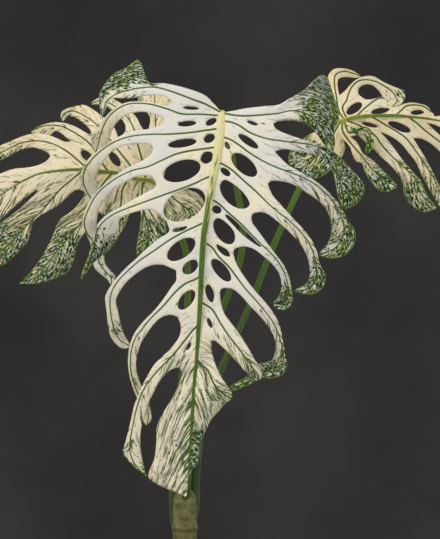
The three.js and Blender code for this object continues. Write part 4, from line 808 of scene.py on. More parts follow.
class Sheet:
    # gathers the faces of a blade, each corner with its own pattern coordinates
    def __init__(self, leaf):
        self.leaf = leaf
        self.points = []
        self.data = []
        self.faces = []
        self.count = 0

    def add(self, points, faces, line, side, reach, edgeGap, rise):
        # side is -1 towards the leaf's base and 1 towards its apex, reach the width of the tissue there
        along, gap, unused = nearestOn(line["path"], points)
        factor = sheet["distance"] / (points[:, 1] - sheet["frontY"] + sheet["distance"])
        sheetX = (points[:, 0] - sheet["worldX"]) * factor + sheet["x"]
        sheetY = sheet["y"] - (points[:, 2] - sheet["worldZ"]) * factor
        density = self.leaf["fleck"] + 0 * gap
        values = {"x": sheetX, "y": sheetY, "gap": gap}
        for amount, ramps in self.leaf["fleckRamps"]:
            for value, low, high in ramps:
                amount = amount * smoothStep(low, high, values[value])
            density += amount
        start, before, after = line["mottle"]
        share = along / line["path"].length
        green = after if side > 0 else before
        green = green * smoothStep(start, start + blade["mottleFade"], share)
        calm = line.get("calm", 0.7)   # the share of the mottling beside the vein
        green = green * (calm + (1 - calm) * np.clip(gap / (reach + 1e-6), 0, 1))
        self.points.append(points)
        # how steeply the streaks leave the vein
        lean = self.leaf["lean"][1 if line.get("apex") else 0] + 0 * gap
        lean += hiddenVein if line.get("minor") or line.get("plain") else 0.0
        self.data.append(np.stack([along, side * gap, lean, edgeGap, green, density, rise], axis=-1))
        self.faces += [tuple(corner + self.count for corner in face) for face in faces]
        self.count += len(points)

    def strip(self, vein, edge, line, side):
        # rows of quads from the vein to a free edge
        columns = blade["columns"]
        v = np.linspace(0, 1, columns + 1)[None, :]
        width = np.linalg.norm(edge - vein, axis=1)[:, None]
        grid = vein[:, None, :] + (edge - vein)[:, None, :] * v[:, :, None]
        rise = blade["quilting"] * width * 4 * v * (1 - v)
        faces = []
        for j in range(len(vein) - 1):
            for i in range(columns):
                a = j * (columns + 1) + i
                faces.append((a, a + columns + 1, a + columns + 2, a + 1))
        points = grid.reshape(-1, 3)
        quads = points[np.array(faces)]
        one, two = quads[:, 2] - quads[:, 0], quads[:, 3] - quads[:, 1]
        if np.sum(one[:, 0] * two[:, 2] - one[:, 2] * two[:, 0]) < 0:
            faces = [face[::-1] for face in faces]
        reach = np.repeat(width, columns + 1, axis=1).ravel()
        self.add(points, faces, line, side, reach, (width * (1 - v)).ravel(), rise.ravel())

    def patch(self, outline, holes, margins, line, after, middles):
        # the tissue between two veins, filled with even triangles round its holes
        grain = blade["grain"]
        rims = np.concatenate([outline] + holes)
        low, high = outline.min(axis=0), outline.max(axis=0)
        rows = np.arange(low[2], high[2], grain * blade["rowGap"])
        x, z = np.meshgrid(np.arange(low[0], high[0], grain), rows)
        x[1::2] += grain / 2
        loose = np.stack([x.ravel(), 0 * x.ravel(), z.ravel()], axis=-1)
        loose = loose[insideOf(loose, outline)]
        for hole in holes:
            loose = loose[~insideOf(loose, hole)]
        loose = loose[distances(loose, rims) > blade["looseGap"] * grain]
        given = np.concatenate([rims, loose])
        edges, first = [], 0
        for loop in [outline] + holes:
            edges += [(first + k, first + (k + 1) % len(loop)) for k in range(len(loop))]
            first += len(loop)
        flat = [Vector((point[0], point[2])) for point in given]
        made = delaunay_2d_cdt(flat, edges, [], 0, 1e-6)
        points = np.array([(v[0], 0.0, v[1]) for v in made[0]])
        triangles = np.array(made[2])
        centres = points[triangles].mean(axis=1)
        kept = insideOf(centres, outline)
        for hole in holes:
            kept &= ~insideOf(centres, hole)
        triangles = triangles[kept]
        nearA, nearB = nearestOn(line["path"], points), nearestOn(after["path"], points)
        share = nearA[1] / (nearA[1] + nearB[1] + 1e-9)
        points[:, 1] = nearA[2] * (1 - share) + nearB[2] * share
        for index, sources in enumerate(made[3]):
            fixed = [source for source in sources if source < len(outline)]
            if fixed:
                points[index] = given[fixed[0]]
        reach = (nearA[1] + nearB[1]) / 2
        rise = blade["quilting"] * reach * 4 * share * (1 - share)
        rise *= smoothStep(0, blade["headFade"], distances(points, middles))
        edgeGap = distances(points, np.concatenate([margins] + holes))
        one = points[triangles[:, 1]] - points[triangles[:, 0]]
        two = points[triangles[:, 2]] - points[triangles[:, 0]]
        area = (one[:, 0] * two[:, 2] - one[:, 2] * two[:, 0]) / 2
        triangles[area < 0] = triangles[area < 0][:, ::-1]
        triangles = triangles[np.abs(area) > blade["sliver"]]
        nearer = share[triangles].mean(axis=1) < 0.5
        for owner, side, chosen in ((line, 1, nearer), (after, -1, ~nearer)):
            used, packed = np.unique(triangles[chosen], return_inverse=True)
            if len(used):
                faces = packed.reshape(-1, 3).tolist()
                self.add(points[used], faces, owner, side, reach[used], edgeGap[used], rise[used])


def holeOutline(hole, root, head, outline):
    # an oval round the line from one end of the hole to the other, kept off the veins
    x0, y0, x1, y1, width = hole
    ends = []
    for x, y in ((x0, y0), (x1, y1)):
        level = place((x, y, root[1] - sheet["frontY"]))
        fromRoot, fromHead = np.linalg.norm(root - level), np.linalg.norm(level - head)
        part = fromRoot / (fromRoot + fromHead + 1e-6)
        ends.append(place((x, y, root[1] + (head[1] - root[1]) * part - sheet["frontY"])))
    middle, half = (ends[0] + ends[1]) / 2, (ends[1] - ends[0]) / 2
    across = unit(np.array([-half[2], 0.0, half[0]])) * width / 2
    count = max(18, int(2.4 * (np.linalg.norm(half) + width / 2) / blade["rimStep"]))
    turn = 2 * math.pi * np.arange(count) / count
    reach = np.ones(count)
    shrinking, rounding = blade["rimRounds"]
    for unused in range(shrinking):
        rim = middle + half * np.cos(turn)[:, None] + across * (np.sin(turn) * reach)[:, None]
        tight = ~insideOf(rim, outline) | (distances(rim, outline) < blade["holeGap"])
        reach = np.where(tight, reach * blade["rimShrink"], reach)
    for unused in range(rounding):
        reach = (np.roll(reach, 1) + 2 * reach + np.roll(reach, -1)) / 4
    return middle + half * np.cos(turn)[:, None] + across * (np.sin(turn) * reach)[:, None]


def halfBlade(lines, midrib, blades):
    half = [dict(line) for line in lines]
    for line in half:
        root = midrib.at(line["root"] / midrib.length)
        if line.get("apex"):
            first = line["root"] / midrib.length
            line["path"] = SmoothPath([midrib.at(first + (1 - first) * i / 12) for i in range(13)])
        else:
            line["path"] = SmoothPath([root] + [place(p) for p in line["vein"]])
            line["path"].settle(blade["veinRounds"])
    for i, line in enumerate(half):
        # how far along the vein the gap on each side ends: towards the base, and towards the apex
        last = len(half) - 1
        heads = [half[i - 1].get("head") if i else None, line.get("head") if i < last else None]
        joints = [min(max(line["path"].nearest(head), 0.03), 0.97) if head else None for head in heads]
        line["joints"] = [1.0, 1.0] if line.get("minor") else joints
    for line, after in zip(half, half[1:]):
        if not line.get("fused"):
            ends = (line["path"].at(line["joints"][1]) + after["path"].at(after["joints"][0])) / 2
            line["headPoint"] = place((line["head"][0], line["head"][1], ends[1] - sheet["frontY"]))
    outwards = unit(half[0]["path"].at(0.3) - half[0]["path"].at(0.0))
    for line in half:
        stops = sorted({0.0, 1.0} | {joint for joint in line["joints"] if joint})
        line["at"] = np.array([0.0])
        for low, high in zip(stops, stops[1:]):
            count = max(2, round((high - low) * line["path"].length / blade["rowStep"]))
            line["at"] = np.append(line["at"], low + (high - low) * np.arange(1, count + 1) / count)
        line["ends"] = [
            int(np.argmin(np.abs(line["at"] - joint))) if joint else None for joint in line["joints"]]
        line["points"] = line["path"].at(line["at"])
        if line.get("apex"):
            path = line["path"]
            ahead = unit(path.at(np.minimum(line["at"] + 0.01, 1)) - path.at(line["at"] - 0.01))
            across = unit(outwards - ahead * (ahead @ outwards)[:, None])
            line["points"][:-1] -= blade["jointGap"] * across[:-1]
        else:
            line["points"][0] += blade["jointGap"] * unit(line["points"][0] - line["points"][2])

    def freeStrip(i, edge, side):
        line = half[i]
        first = line["ends"][(side + 1) // 2]
        loose = line["points"][first:]
        along = (line["at"][first:] - line["at"][first]) / (1 - line["at"][first])
        rows = edge.at(along)
        rows[-1] = line["points"][-1]
        along = along * edge.length
        fadeIn, fadeOut = blade["ruffleFades"]
        wave = np.sin(along / blade["ruffleLength"] + i)
        wave = wave * smoothStep(0, fadeIn, along) * smoothStep(0, fadeOut, along[-1] - along)
        rows[:, 1] += blade["ruffle"] * wave
        blades.strip(loose, rows, line, side)

    for i, line in enumerate(half):
        if i == 0:
            edge = edgePath(line["points"][0], line["before"], line["path"])
            feet = marks = edge.lengths[::16] / edge.length
            if line.get("square"):
                # each drawn edge point is joined to the vein where they are closest
                feet = [0.0] + [line["path"].nearest(point) for point in line["before"]] + [1.0]
                closest, even = blade["square"]
                feet = closest * np.maximum.accumulate(feet) + even * marks
            rows = edge.at(np.interp(line["at"], feet, marks))
            rows[0], rows[-1] = line["points"][0], line["points"][-1]
            blades.strip(line["points"], rows, line, -1)
        if i + 1 == len(half):
            break
        after = half[i + 1]
        a, b = line["points"], after["points"]
        root = midrib.at((line["root"] + after["root"]) / 2 / midrib.length)
        if line.get("fused"):
            head = (a[-1] + b[-1]) / 2
            if np.linalg.norm(a[-1] - b[-1]) < 0.05:
                b = b[:-1]
            top = np.zeros((0, 3))
            margins = head[None]
        else:
            head = line["headPoint"]
            a, b = a[:line["ends"][1] + 1], b[:after["ends"][0] + 1]
            share = np.linspace(0, 1, blade["columns"] + 1)[:, None]
            up, down = a[-1] + (head - a[-1]) * share, b[-1] + (head - b[-1]) * share
            top = np.concatenate([up[1:], down[1:-1][::-1]])
            free = [row for owner, row in ((line, up), (after, down)) if owner.get("minor")]
            margins = np.concatenate([head[None]] + free)
        steps = max(2, round(np.linalg.norm(a[0] - b[0]) / blade["grain"]))
        foot = b[0] + (a[0] - b[0]) * (np.arange(1, steps) / steps)[:, None]
        outline = np.concatenate([a, top, b[::-1], foot])
        holes = [holeOutline(hole, root, head, outline) for hole in line.get("holes", [])]
        blades.patch(outline, holes, margins, line, after, np.concatenate([head[None], foot]))
        if line.get("fused"):
            continue
        for owner, index, points, side in ((line, i, "after", 1), (after, i + 1, "before", -1)):
            if not owner.get("minor"):
                freeStrip(index, edgePath(head, owner[points], owner["path"]), side)


def settledDepth(points, polygons, midrib):
    # evens out the depth over the joined sheet, so that no row of the strips shows as a crease
    corners = []
    for face in polygons:
        corners += [(face[0], face[k], face[k + 1]) for k in range(1, len(face) - 1)]
    corners = np.array(corners)
    count = len(points)
    first, second, weight = [], [], []
    area = np.zeros(count)
    for k in range(3):
        here, left, right = (corners[:, (k + n) % 3] for n in range(3))
        u, v = points[left] - points[here], points[right] - points[here]
        twice = np.linalg.norm(np.cross(u, v), axis=1) + 1e-3
        first.append(left)
        second.append(right)
        weight.append(np.clip(np.sum(u * v, axis=1) / twice, 0, 60) / 2)
        area += np.bincount(here, twice / 6, count)
    first, second, weight = (np.concatenate(part) for part in (first, second, weight))
    degree = np.bincount(first, weight, count) + np.bincount(second, weight, count)
    rib = midrib.dense[::6]
    fromRib = np.min(np.linalg.norm(points[:, None, :] - rib[None, :, :], axis=2), axis=1)
    hold = area * (1 + blade["ribHold"] * (1 - smoothStep(0, blade["ribReach"], fromRib)))
    spread = blade["settling"] ** 2

    def pull(depth):
        passed = np.bincount(first, weight * depth[second], count)
        passed += np.bincount(second, weight * depth[first], count)
        return hold * depth + spread * (degree * depth - passed)

    def settle(depth):
        # conjugate gradients
        found = depth.copy()
        rest = hold * depth - pull(found)
        scale = hold + spread * degree
        step = rest / scale
        product = rest @ (rest / scale)
        for unused in range(blade["settlingRounds"]):
            pulled = pull(step)
            share = product / (step @ pulled + 1e-30)
            found = found + share * step
            rest = rest - share * pulled
            before, product = product, rest @ (rest / scale)
            step = rest / scale + step * product / (before + 1e-30)
        return found

    once = settle(points[:, 1])
    return 2 * once - settle(once)


def plainMesh(obj):
    # what the modifiers make of an object, as its own plain mesh
    result = bpy.data.meshes.new_from_object(obj.evaluated_get(bpy.context.evaluated_depsgraph_get()))
    if obj.type == "MESH":
        obj.modifiers.clear()
        obj.data = result
        return obj
    made = bpy.data.objects.new(obj.name, result)
    bpy.context.collection.objects.link(made)
    name = obj.name
    bpy.data.objects.remove(obj)
    made.name = name
    return made


def makeBlade(name, leaf, materials):
    midrib = SmoothPath([place(p) for p in leaf["midrib"]])
    blades = Sheet(leaf)
    for lines in leaf["sides"]:
        halfBlade(lines, midrib, blades)
    points = np.concatenate(blades.points)
    data = np.concatenate(blades.data)
    keys = np.round(points * blade["weld"]).astype(np.int64)
    unused, firsts, merged = np.unique(keys, axis=0, return_index=True, return_inverse=True)
    merged = merged.ravel()
    joinedPoints = points[firsts]
    polygons, corners = [], []
    for face in blades.faces:
        loop = []
        for corner in face:
            if not loop or merged[corner] != merged[loop[-1]]:
                loop.append(corner)
        if len(loop) > 1 and merged[loop[0]] == merged[loop[-1]]:
            loop.pop()
        if len({merged[corner] for corner in loop}) == len(loop) >= 3:
            polygons.append([int(merged[corner]) for corner in loop])
            corners += loop
    rise = np.bincount(merged, data[:, 6]) / np.bincount(merged)
    joinedPoints[:, 1] = settledDepth(joinedPoints, polygons, midrib) - rise
    mesh = bpy.data.meshes.new(name)
    mesh.from_pydata((joinedPoints / 1000).tolist(), [], polygons)
    mapping = mesh.uv_layers.new(name="veinMap")
    mapping.data.foreach_set("uv", (data[corners][:, :2] / 100).astype(np.float32).ravel())
    colours = mesh.color_attributes.new("leafData", "FLOAT_COLOR", "CORNER")
    values = data[corners][:, 2:6] / np.array([1.0, 10.0, 1.0, 1.0])
    colours.data.foreach_set("color", values.astype(np.float32).ravel())
    mesh.polygons.foreach_set("use_smooth", np.ones(len(polygons), dtype=bool))
    obj = bpy.data.objects.new(name, mesh)
    bpy.context.collection.objects.link(obj)
    for material in materials:
        obj.data.materials.append(material)
    thick = obj.modifiers.new("thickness", "SOLIDIFY")
    thick.thickness = blade["thickness"] / 1000
    thick.offset = 0
    thick.material_offset = 1
    thick.use_quality_normals = True
    plainMesh(obj)
    print(name, len(obj.data.polygons), "faces")
    return obj, midrib


def newTree(name, inputs):
    # a tree of Geometry Nodes with its named inputs
    tree = bpy.data.node_groups.new(name, "GeometryNodeTree")
    for key, kind in (("Geometry", "Geometry"), *inputs):
        tree.interface.new_socket(key, in_out="INPUT", socket_type="NodeSocket" + kind)
    tree.interface.new_socket("Geometry", in_out="OUTPUT", socket_type="NodeSocketGeometry")
    return tree, tree.nodes.new("NodeGroupInput").outputs


def finishTree(tree, geometry, material):
    real = addNode(tree, "GeometryNodeRealizeInstances", {"Geometry": geometry}).outputs[0]
    painted = addNode(tree, "GeometryNodeSetMaterial", {"Geometry": real, "Material": material})
    addNode(tree, "NodeGroupOutput", {"Geometry": painted.outputs[0]})
    return tree


# A stalk follows a path: one tree of Geometry Nodes for the petioles and aerial roots
def stalkTree():
    tree, given = newTree("stalkAlongPath", (("Sides", "Int"), ("Finish", "Material")))
    along = addNode(tree, "GeometryNodeSplineParameter").outputs["Factor"]
    values = {"Geometry": given["Geometry"], "Name": "alongStalk", "Value": along}
    stored = addNode(tree, "GeometryNodeStoreNamedAttribute", values, data_type="FLOAT", domain="POINT")
    circle = addNode(tree, "GeometryNodeCurvePrimitiveCircle", {"Resolution": given["Sides"], "Radius": 1})
    sweep = addNode(tree, "GeometryNodeCurveToMesh", {
        "Curve": stored.outputs["Geometry"], "Profile Curve": circle.outputs["Curve"],
        "Scale": addNode(tree, "GeometryNodeInputRadius").outputs[0], "Fill Caps": True,
    })
    smooth = addNode(tree, "GeometryNodeSetShadeSmooth", {"Geometry": sweep.outputs["Mesh"]})
    return finishTree(tree, smooth.outputs["Geometry"], given["Finish"])


def setInput(modifier, name, value):
    for item in modifier.node_group.interface.items_tree:
        if item.item_type == "SOCKET" and item.in_out == "INPUT" and item.name == name:
            modifier[item.identifier] = value


def makeStalk(name, points, radii, material, sides):
    curve = bpy.data.curves.new(name, "CURVE")
    curve.dimensions = "3D"
    spline = curve.splines.new("POLY")
    spline.points.add(len(points) - 1)
    for spot, point, radius in zip(spline.points, points, radii):
        spot.co = (*(np.asarray(point) / 1000), 1)
        spot.radius = radius / 1000
    curve.materials.append(material)
    obj = bpy.data.objects.new(name, curve)
    bpy.context.collection.objects.link(obj)
    modifier = obj.modifiers.new("stalk", "NODES")
    modifier.node_group = stalks
    setInput(modifier, "Sides", sides)
    setInput(modifier, "Finish", material)
    return plainMesh(obj)


ridge = {"sides": 20, "rings": 120, "front": 0.62, "back": 0.9, "lift": 0.05, "reach": 0.988}


def makeRib(name, path, widths, material):
    # a broad low ridge along a path, flatter in front; its UV map runs along it and round it
    rings, sides = ridge["rings"], ridge["sides"]
    fractions = np.linspace(0, ridge["reach"], rings)
    points = path.at(fractions)
    half = np.interp(fractions, *zip(*widths))
    along = unit(np.gradient(points, axis=0))
    front = unit(np.array([0.0, -1.0, 0.0]) - along * (-along[:, 1])[:, None])
    across = np.cross(along, front)
    vertices, faces, mapped = [], ringFaces(rings, sides), []
    for j in range(rings):
        for k in range(sides):
            turn = 2 * math.pi * k / sides
            lift = math.sin(turn) * (ridge["front"] if math.sin(turn) > 0 else ridge["back"])
            point = points[j] + half[j] * (across[j] * math.cos(turn) + front[j] * (lift + ridge["lift"]))
            vertices.append(point / 1000)
    for j in range(rings - 1):
        for k in range(sides):
            mapped += [(fractions[j], k / sides), (fractions[j], (k + 1) / sides)]
            mapped += [(fractions[j + 1], (k + 1) / sides), (fractions[j + 1], k / sides)]
    last = (rings - 1) * sides
    faces += [tuple(range(sides - 1, -1, -1)), tuple(last + k for k in range(sides))]
    mapped += [(0, 0.5)] * sides + [(1, 0.5)] * sides
    obj = objectFrom(name, vertices, faces, material)
    layer = obj.data.uv_layers.new(name="ribMap")
    layer.data.foreach_set("uv", np.array(mapped, dtype=np.float32).ravel())
    return obj


# Materials
def newMaterial(name, roughness, specular=0.5):
    material = bpy.data.materials.new(name)
    material.use_nodes = True
    shader = material.node_tree.nodes["Principled BSDF"]
    shader.inputs["Roughness"].default_value = roughness
    shader.inputs["Specular IOR Level"].default_value = specular
    return material, material.node_tree, shader


def addNode(tree, kind, values=None, **settings):
    node = tree.nodes.new(kind)
    for key, value in settings.items():
        setattr(node, key, value)
    for key, value in (values or {}).items():
        if isinstance(value, bpy.types.NodeSocket):
            tree.links.new(value, node.inputs[key])
        else:
            node.inputs[key].default_value = value
    return node


def maths(tree, operation, a, b=0.0):
    return addNode(tree, "ShaderNodeMath", {0: a, 1: b}, operation=operation).outputs[0]


def mixColours(tree, factor, a, b):
    node = addNode(tree, "ShaderNodeMix", data_type="RGBA")
    for socket, value in zip((node.inputs[0], node.inputs[6], node.inputs[7]), (factor, a, b)):
        if isinstance(value, bpy.types.NodeSocket):
            tree.links.new(value, socket)
        else:
            socket.default_value = value
    return node.outputs[2]


def ramp(tree, value, low, high):
    # 0 below low, 1 above high, smooth between
    node = addNode(tree, "ShaderNodeMapRange", interpolation_type="SMOOTHSTEP")
    for socket, given in zip((0, 1, 2), (value, low, high)):
        if isinstance(given, bpy.types.NodeSocket):
            tree.links.new(given, node.inputs[socket])
        else:
            node.inputs[socket].default_value = given
    return node.outputs[0]


def colour(red, green, blue):
    # from 0 to 255 as seen on a screen
    def linear(value):
        value /= 255
        return value / 12.92 if value <= 0.04045 else ((value + 0.055) / 1.055) ** 2.4
    return (linear(red), linear(green), linear(blue), 1)


def noiseAt(tree, vector, scale, detail=3.0, roughness=0.55, distortion=0.0):
    values = {"Vector": vector, "Scale": scale, "Detail": detail}
    values.update({"Roughness": roughness, "Distortion": distortion})
    return addNode(tree, "ShaderNodeTexNoise", values).outputs["Fac"]


def objectPlace(tree):
    return addNode(tree, "ShaderNodeTexCoord").outputs["Object"]


def partsOf(tree, vector):
    return addNode(tree, "ShaderNodeSeparateXYZ", {0: vector}).outputs


def times(tree, a, b):
    return maths(tree, "MULTIPLY", a, b)


def plus(tree, a, b):
    return maths(tree, "ADD", a, b)


def less(tree, a, b):
    return maths(tree, "SUBTRACT", a, b)


def scaled(tree, pair, value):
    # the first number of the pair, and the second times the value
    return plus(tree, pair[0], times(tree, value, pair[1]))


def above(tree, value, limit, width):
    return ramp(tree, value, limit, plus(tree, limit, width))


def below(tree, value, limit, width):
    return less(tree, 1.0, above(tree, value, limit, width))


def drawnOut(tree, vector, scale, detail=3.0, roughness=0.55, distortion=0.0):
    # noise stretched by its own scale in each direction
    mapped = addNode(tree, "ShaderNodeMapping", {"Vector": vector, "Scale": scale}).outputs[0]
    return noiseAt(tree, mapped, 1.0, detail, roughness, distortion)


def addBump(tree, shader, height, strength, distance):
    bump = addNode(tree, "ShaderNodeBump", {"Height": height, "Strength": strength, "Distance": distance})
    tree.links.new(bump.outputs[0], shader.inputs["Normal"])


# Where an entry has two numbers, the second is multiplied by the density of the marks there
leafFinish = {
    "frontBase": colour(232, 228, 218),
    "frontWarm": colour(247, 235, 202),
    "sideBase": colour(240, 226, 196),
    "sideWarm": colour(236, 214, 168),
    "streak": colour(58, 84, 34),
    "dark": colour(32, 48, 16),
    "darkSoft": colour(62, 92, 46),
    "speckle": colour(212, 220, 198),
    "yellowSoft": colour(86, 116, 40),
    "yellowSpeckle": colour(182, 192, 120),
    "rim": colour(132, 160, 44),
    "vein": colour(60, 96, 20),
    "under": colour(198, 200, 172),
    "roughness": 0.5,
    "specular": 0.08,
    "warmBand": 0.12,           # m of height over which the tissue turns creamy
    "bend": 0.06,               # how soon the streaks bend along the vein
    "spacing": 0.33,            # of the streaks
    "sideStep": 7.0,            # keeps the patterns on the two sides of a vein apart
    "streakScale": (0.022, 0.42, 1.0),
    "streakWidth": (0.006, 0.05),
    "coverScale": (0.045, 0.3, 1.0),
    "cover": (0.66, -0.36),     # where streaks show at all
    "dashScale": (0.1, 0.95, 1.0),
    "dashes": (0.69, -0.1),
    "mottleScale": (0.13, 0.34, 1.0),
    "mottling": (0.94, -0.42),
    "speckleScale": (0.26, 0.5, 1.0),
    "rimWidth": (0.03, 0.06),   # cm
    "rimStrength": (0.16, 0.5),
    "veinWidth": (0.048, 0.05), # cm from the middle
    "veinTaper": (10.0, 110.0, 0.03),
    "grooveScale": (0.1, 0.8, 1.0),
}


def leafMaterial(name, base, warm, warmBelow, under=False):
    finish = leafFinish
    material, tree, shader = newMaterial(name, finish["roughness"], finish["specular"])
    data = addNode(tree, "ShaderNodeAttribute", attribute_name="leafData")
    parts = addNode(tree, "ShaderNodeSeparateColor", {0: data.outputs["Color"]})
    lean, edgeGap, mottle = parts.outputs
    fleck = data.outputs["Alpha"]
    here = objectPlace(tree)
    wander = noiseAt(tree, here, 55.0, 2.0)

    # pattern coordinates in mm: along the vein, and across the streaks, which leave it and bend along it
    mapped = partsOf(tree, addNode(tree, "ShaderNodeUVMap", uv_map="veinMap").outputs[0])
    along = times(tree, mapped[0], 100.0)
    away = times(tree, maths(tree, "ABSOLUTE", mapped[1]), 100.0)
    side = times(tree, maths(tree, "SIGN", mapped[1]), finish["sideStep"])
    hidden = maths(tree, "GREATER_THAN", lean, hiddenVein / 2)
    slope = less(tree, lean, times(tree, hidden, hiddenVein))
    bend = times(tree, away, plus(tree, slope, times(tree, away, finish["bend"])))
    across = times(tree, less(tree, along, bend), finish["spacing"])
    flow = addNode(tree, "ShaderNodeCombineXYZ", {0: along, 1: across, 2: side}).outputs[0]

    # the tissue is whiter high up and creamier towards the apex
    lower = ramp(tree, partsOf(tree, here)[2], warmBelow, warmBelow - finish["warmBand"])
    tone = ramp(tree, noiseAt(tree, here, 16.0, 3.0), 0.4, 0.7)
    tone = maths(tree, "MAXIMUM", tone, times(tree, lower, 0.8))
    surface = mixColours(tree, tone, base, warm)

    # long thin wavering streaks between the veins, and short dashes beside them
    field = drawnOut(tree, flow, finish["streakScale"], 2.5, 0.55, 0.9)
    fromMiddle = maths(tree, "ABSOLUTE", less(tree, field, 0.5))
    streaks = below(tree, fromMiddle, scaled(tree, finish["streakWidth"], fleck), 0.016)
    cover = drawnOut(tree, flow, finish["coverScale"], 3.0, 0.6, 0.3)
    cover = above(tree, cover, scaled(tree, finish["cover"], fleck), 0.07)
    dashes = drawnOut(tree, flow, finish["dashScale"], 2.0, 0.55, 0.5)
    dashes = above(tree, dashes, scaled(tree, finish["dashes"], fleck), 0.06)
    marks = maths(tree, "MAXIMUM", times(tree, streaks, cover), dashes)
    surface = mixColours(tree, times(tree, marks, 0.94), surface, finish["streak"])

    # dark mottling with pale speckles towards the lobe ends
    blotches = drawnOut(tree, flow, finish["mottleScale"], 5.0, 0.7, 0.9)
    depth = less(tree, scaled(tree, finish["mottling"], mottle), times(tree, wander, 0.5))
    mottled = times(tree, above(tree, blotches, depth, 0.06), ramp(tree, mottle, 0.02, 0.2))
    grain = drawnOut(tree, flow, finish["speckleScale"], 4.0, 0.65, 0.6)
    yellower = ramp(tree, noiseAt(tree, here, 60.0, 2.0), 0.48, 0.64)
    soft = mixColours(tree, yellower, finish["darkSoft"], finish["yellowSoft"])
    green = mixColours(tree, ramp(tree, grain, 0.38, 0.6), finish["dark"], soft)
    spots = mixColours(tree, yellower, finish["speckle"], finish["yellowSpeckle"])
    green = mixColours(tree, ramp(tree, grain, 0.515, 0.585), green, spots)
    surface = mixColours(tree, mottled, surface, green)

    # a light green rim, and the green veins, which thin towards their ends
    rim = below(tree, edgeGap, scaled(tree, finish["rimWidth"], mottle), 0.05)
    rim = times(tree, rim, scaled(tree, finish["rimStrength"], mottle))
    surface = mixColours(tree, rim, surface, finish["rim"])
    start, end, amount = finish["veinTaper"]
    thinner = times(tree, ramp(tree, along, start, end), amount)
    half = less(tree, scaled(tree, finish["veinWidth"], wander), thinner)
    vein = below(tree, plus(tree, times(tree, away, 0.1), hidden), half, 0.05)
    surface = mixColours(tree, times(tree, vein, 0.45 if under else 0.96), surface, finish["vein"])
    if under:
        surface = mixColours(tree, 0.6, surface, finish["under"])
    tree.links.new(surface, shader.inputs["Base Color"])
    groove = less(tree, drawnOut(tree, flow, finish["grooveScale"]), times(tree, vein, 0.8))
    addBump(tree, shader, groove, 0.22, 0.001)
    return material


def ribMaterial(name, pale, green, turnsGreen):
    # pale at the base, with green streaks that spread from the middle until it is green all over
    material, tree, shader = newMaterial(name, 0.45, 0.3)
    mapping = addNode(tree, "ShaderNodeUVMap", uv_map="ribMap").outputs[0]
    along, around = partsOf(tree, mapping)[:2]
    fromMiddle = maths(tree, "ABSOLUTE", less(tree, around, 0.25))
    grain = drawnOut(tree, mapping, (26.0, 16.0, 1.0), 4.0, 0.65, 0.4)
    spread = ramp(tree, along, turnsGreen[0], turnsGreen[1])
    level = plus(tree, times(tree, spread, 0.62), times(tree, grain, 0.9))
    level = less(tree, level, times(tree, fromMiddle, 1.1))
    surface = mixColours(tree, ramp(tree, level, 0.52, 0.66), pale, green)
    darker = mixColours(tree, ramp(tree, grain, 0.45, 0.65), green, colour(40, 70, 14))
    surface = mixColours(tree, times(tree, ramp(tree, level, 0.7, 0.95), 0.8), surface, darker)
    tree.links.new(surface, shader.inputs["Base Color"])
    return material


def stalkMaterial(name, tip, top, foot, streak):
    material, tree, shader = newMaterial(name, 0.42, 0.3)
    along = addNode(tree, "ShaderNodeAttribute", attribute_name="alongStalk").outputs["Fac"]
    # darker from the top towards the foot: partly the stalk's own deeper green lower down, partly painted
    # shade where the lower stalks lie in shadow
    surface = mixColours(tree, ramp(tree, along, 0.0, 0.9), top, foot)
    surface = mixColours(tree, ramp(tree, along, 0.035, 0.01), surface, tip)
    values = {"Vector": objectPlace(tree), "Scale": (900.0, 900.0, 40.0)}
    stretched = addNode(tree, "ShaderNodeMapping", values).outputs[0]
    streaks = ramp(tree, noiseAt(tree, stretched, 0.35, 3.0), 0.5, 0.72)
    surface = mixColours(tree, times(tree, streaks, 0.55), surface, streak)
    tree.links.new(surface, shader.inputs["Base Color"])
    return material


def grainyMaterial(name, dark, light, roughness, scale, bumpSize):
    material, tree, shader = newMaterial(name, roughness)
    grains = noiseAt(tree, objectPlace(tree), scale, 6.0, 0.65)
    surface = mixColours(tree, ramp(tree, grains, 0.35, 0.65), dark, light)
    tree.links.new(surface, shader.inputs["Base Color"])
    addBump(tree, shader, grains, 0.4, bumpSize)
    return material


def caneMaterial(name, dark, light, scar, levels):
    # mottled bark with darker leaf scars at the raised rings
    material, tree, shader = newMaterial(name, 0.66)
    here = objectPlace(tree)
    height = partsOf(tree, here)[2]
    grains = noiseAt(tree, here, 130.0, 5.0, 0.65)
    surface = mixColours(tree, ramp(tree, grains, 0.34, 0.66), dark, light)
    scars = 0.0
    for level in levels:
        gap = maths(tree, "ABSOLUTE", less(tree, height, level))
        scars = maths(tree, "MAXIMUM", scars, below(tree, gap, 0.0008, 0.0018))
    surface = mixColours(tree, times(tree, scars, 0.75), surface, scar)
    tree.links.new(surface, shader.inputs["Base Color"])
    addBump(tree, shader, grains, 0.35, 0.001)
    return material


def objectFrom(name, vertices, faces, material):
    mesh = bpy.data.meshes.new(name)
    mesh.from_pydata([tuple(v) for v in vertices], [], faces)
    mesh.polygons.foreach_set("use_smooth", [True] * len(faces))
    mesh.materials.append(material)
    obj = bpy.data.objects.new(name, mesh)
    bpy.context.collection.objects.link(obj)
    return obj


def ringFaces(rings, around):
    faces = []
    for j in range(rings - 1):
        for k in range(around):
            n = (k + 1) % around
            faces.append((j * around + k, j * around + n, (j + 1) * around + n, (j + 1) * around + k))
    return faces


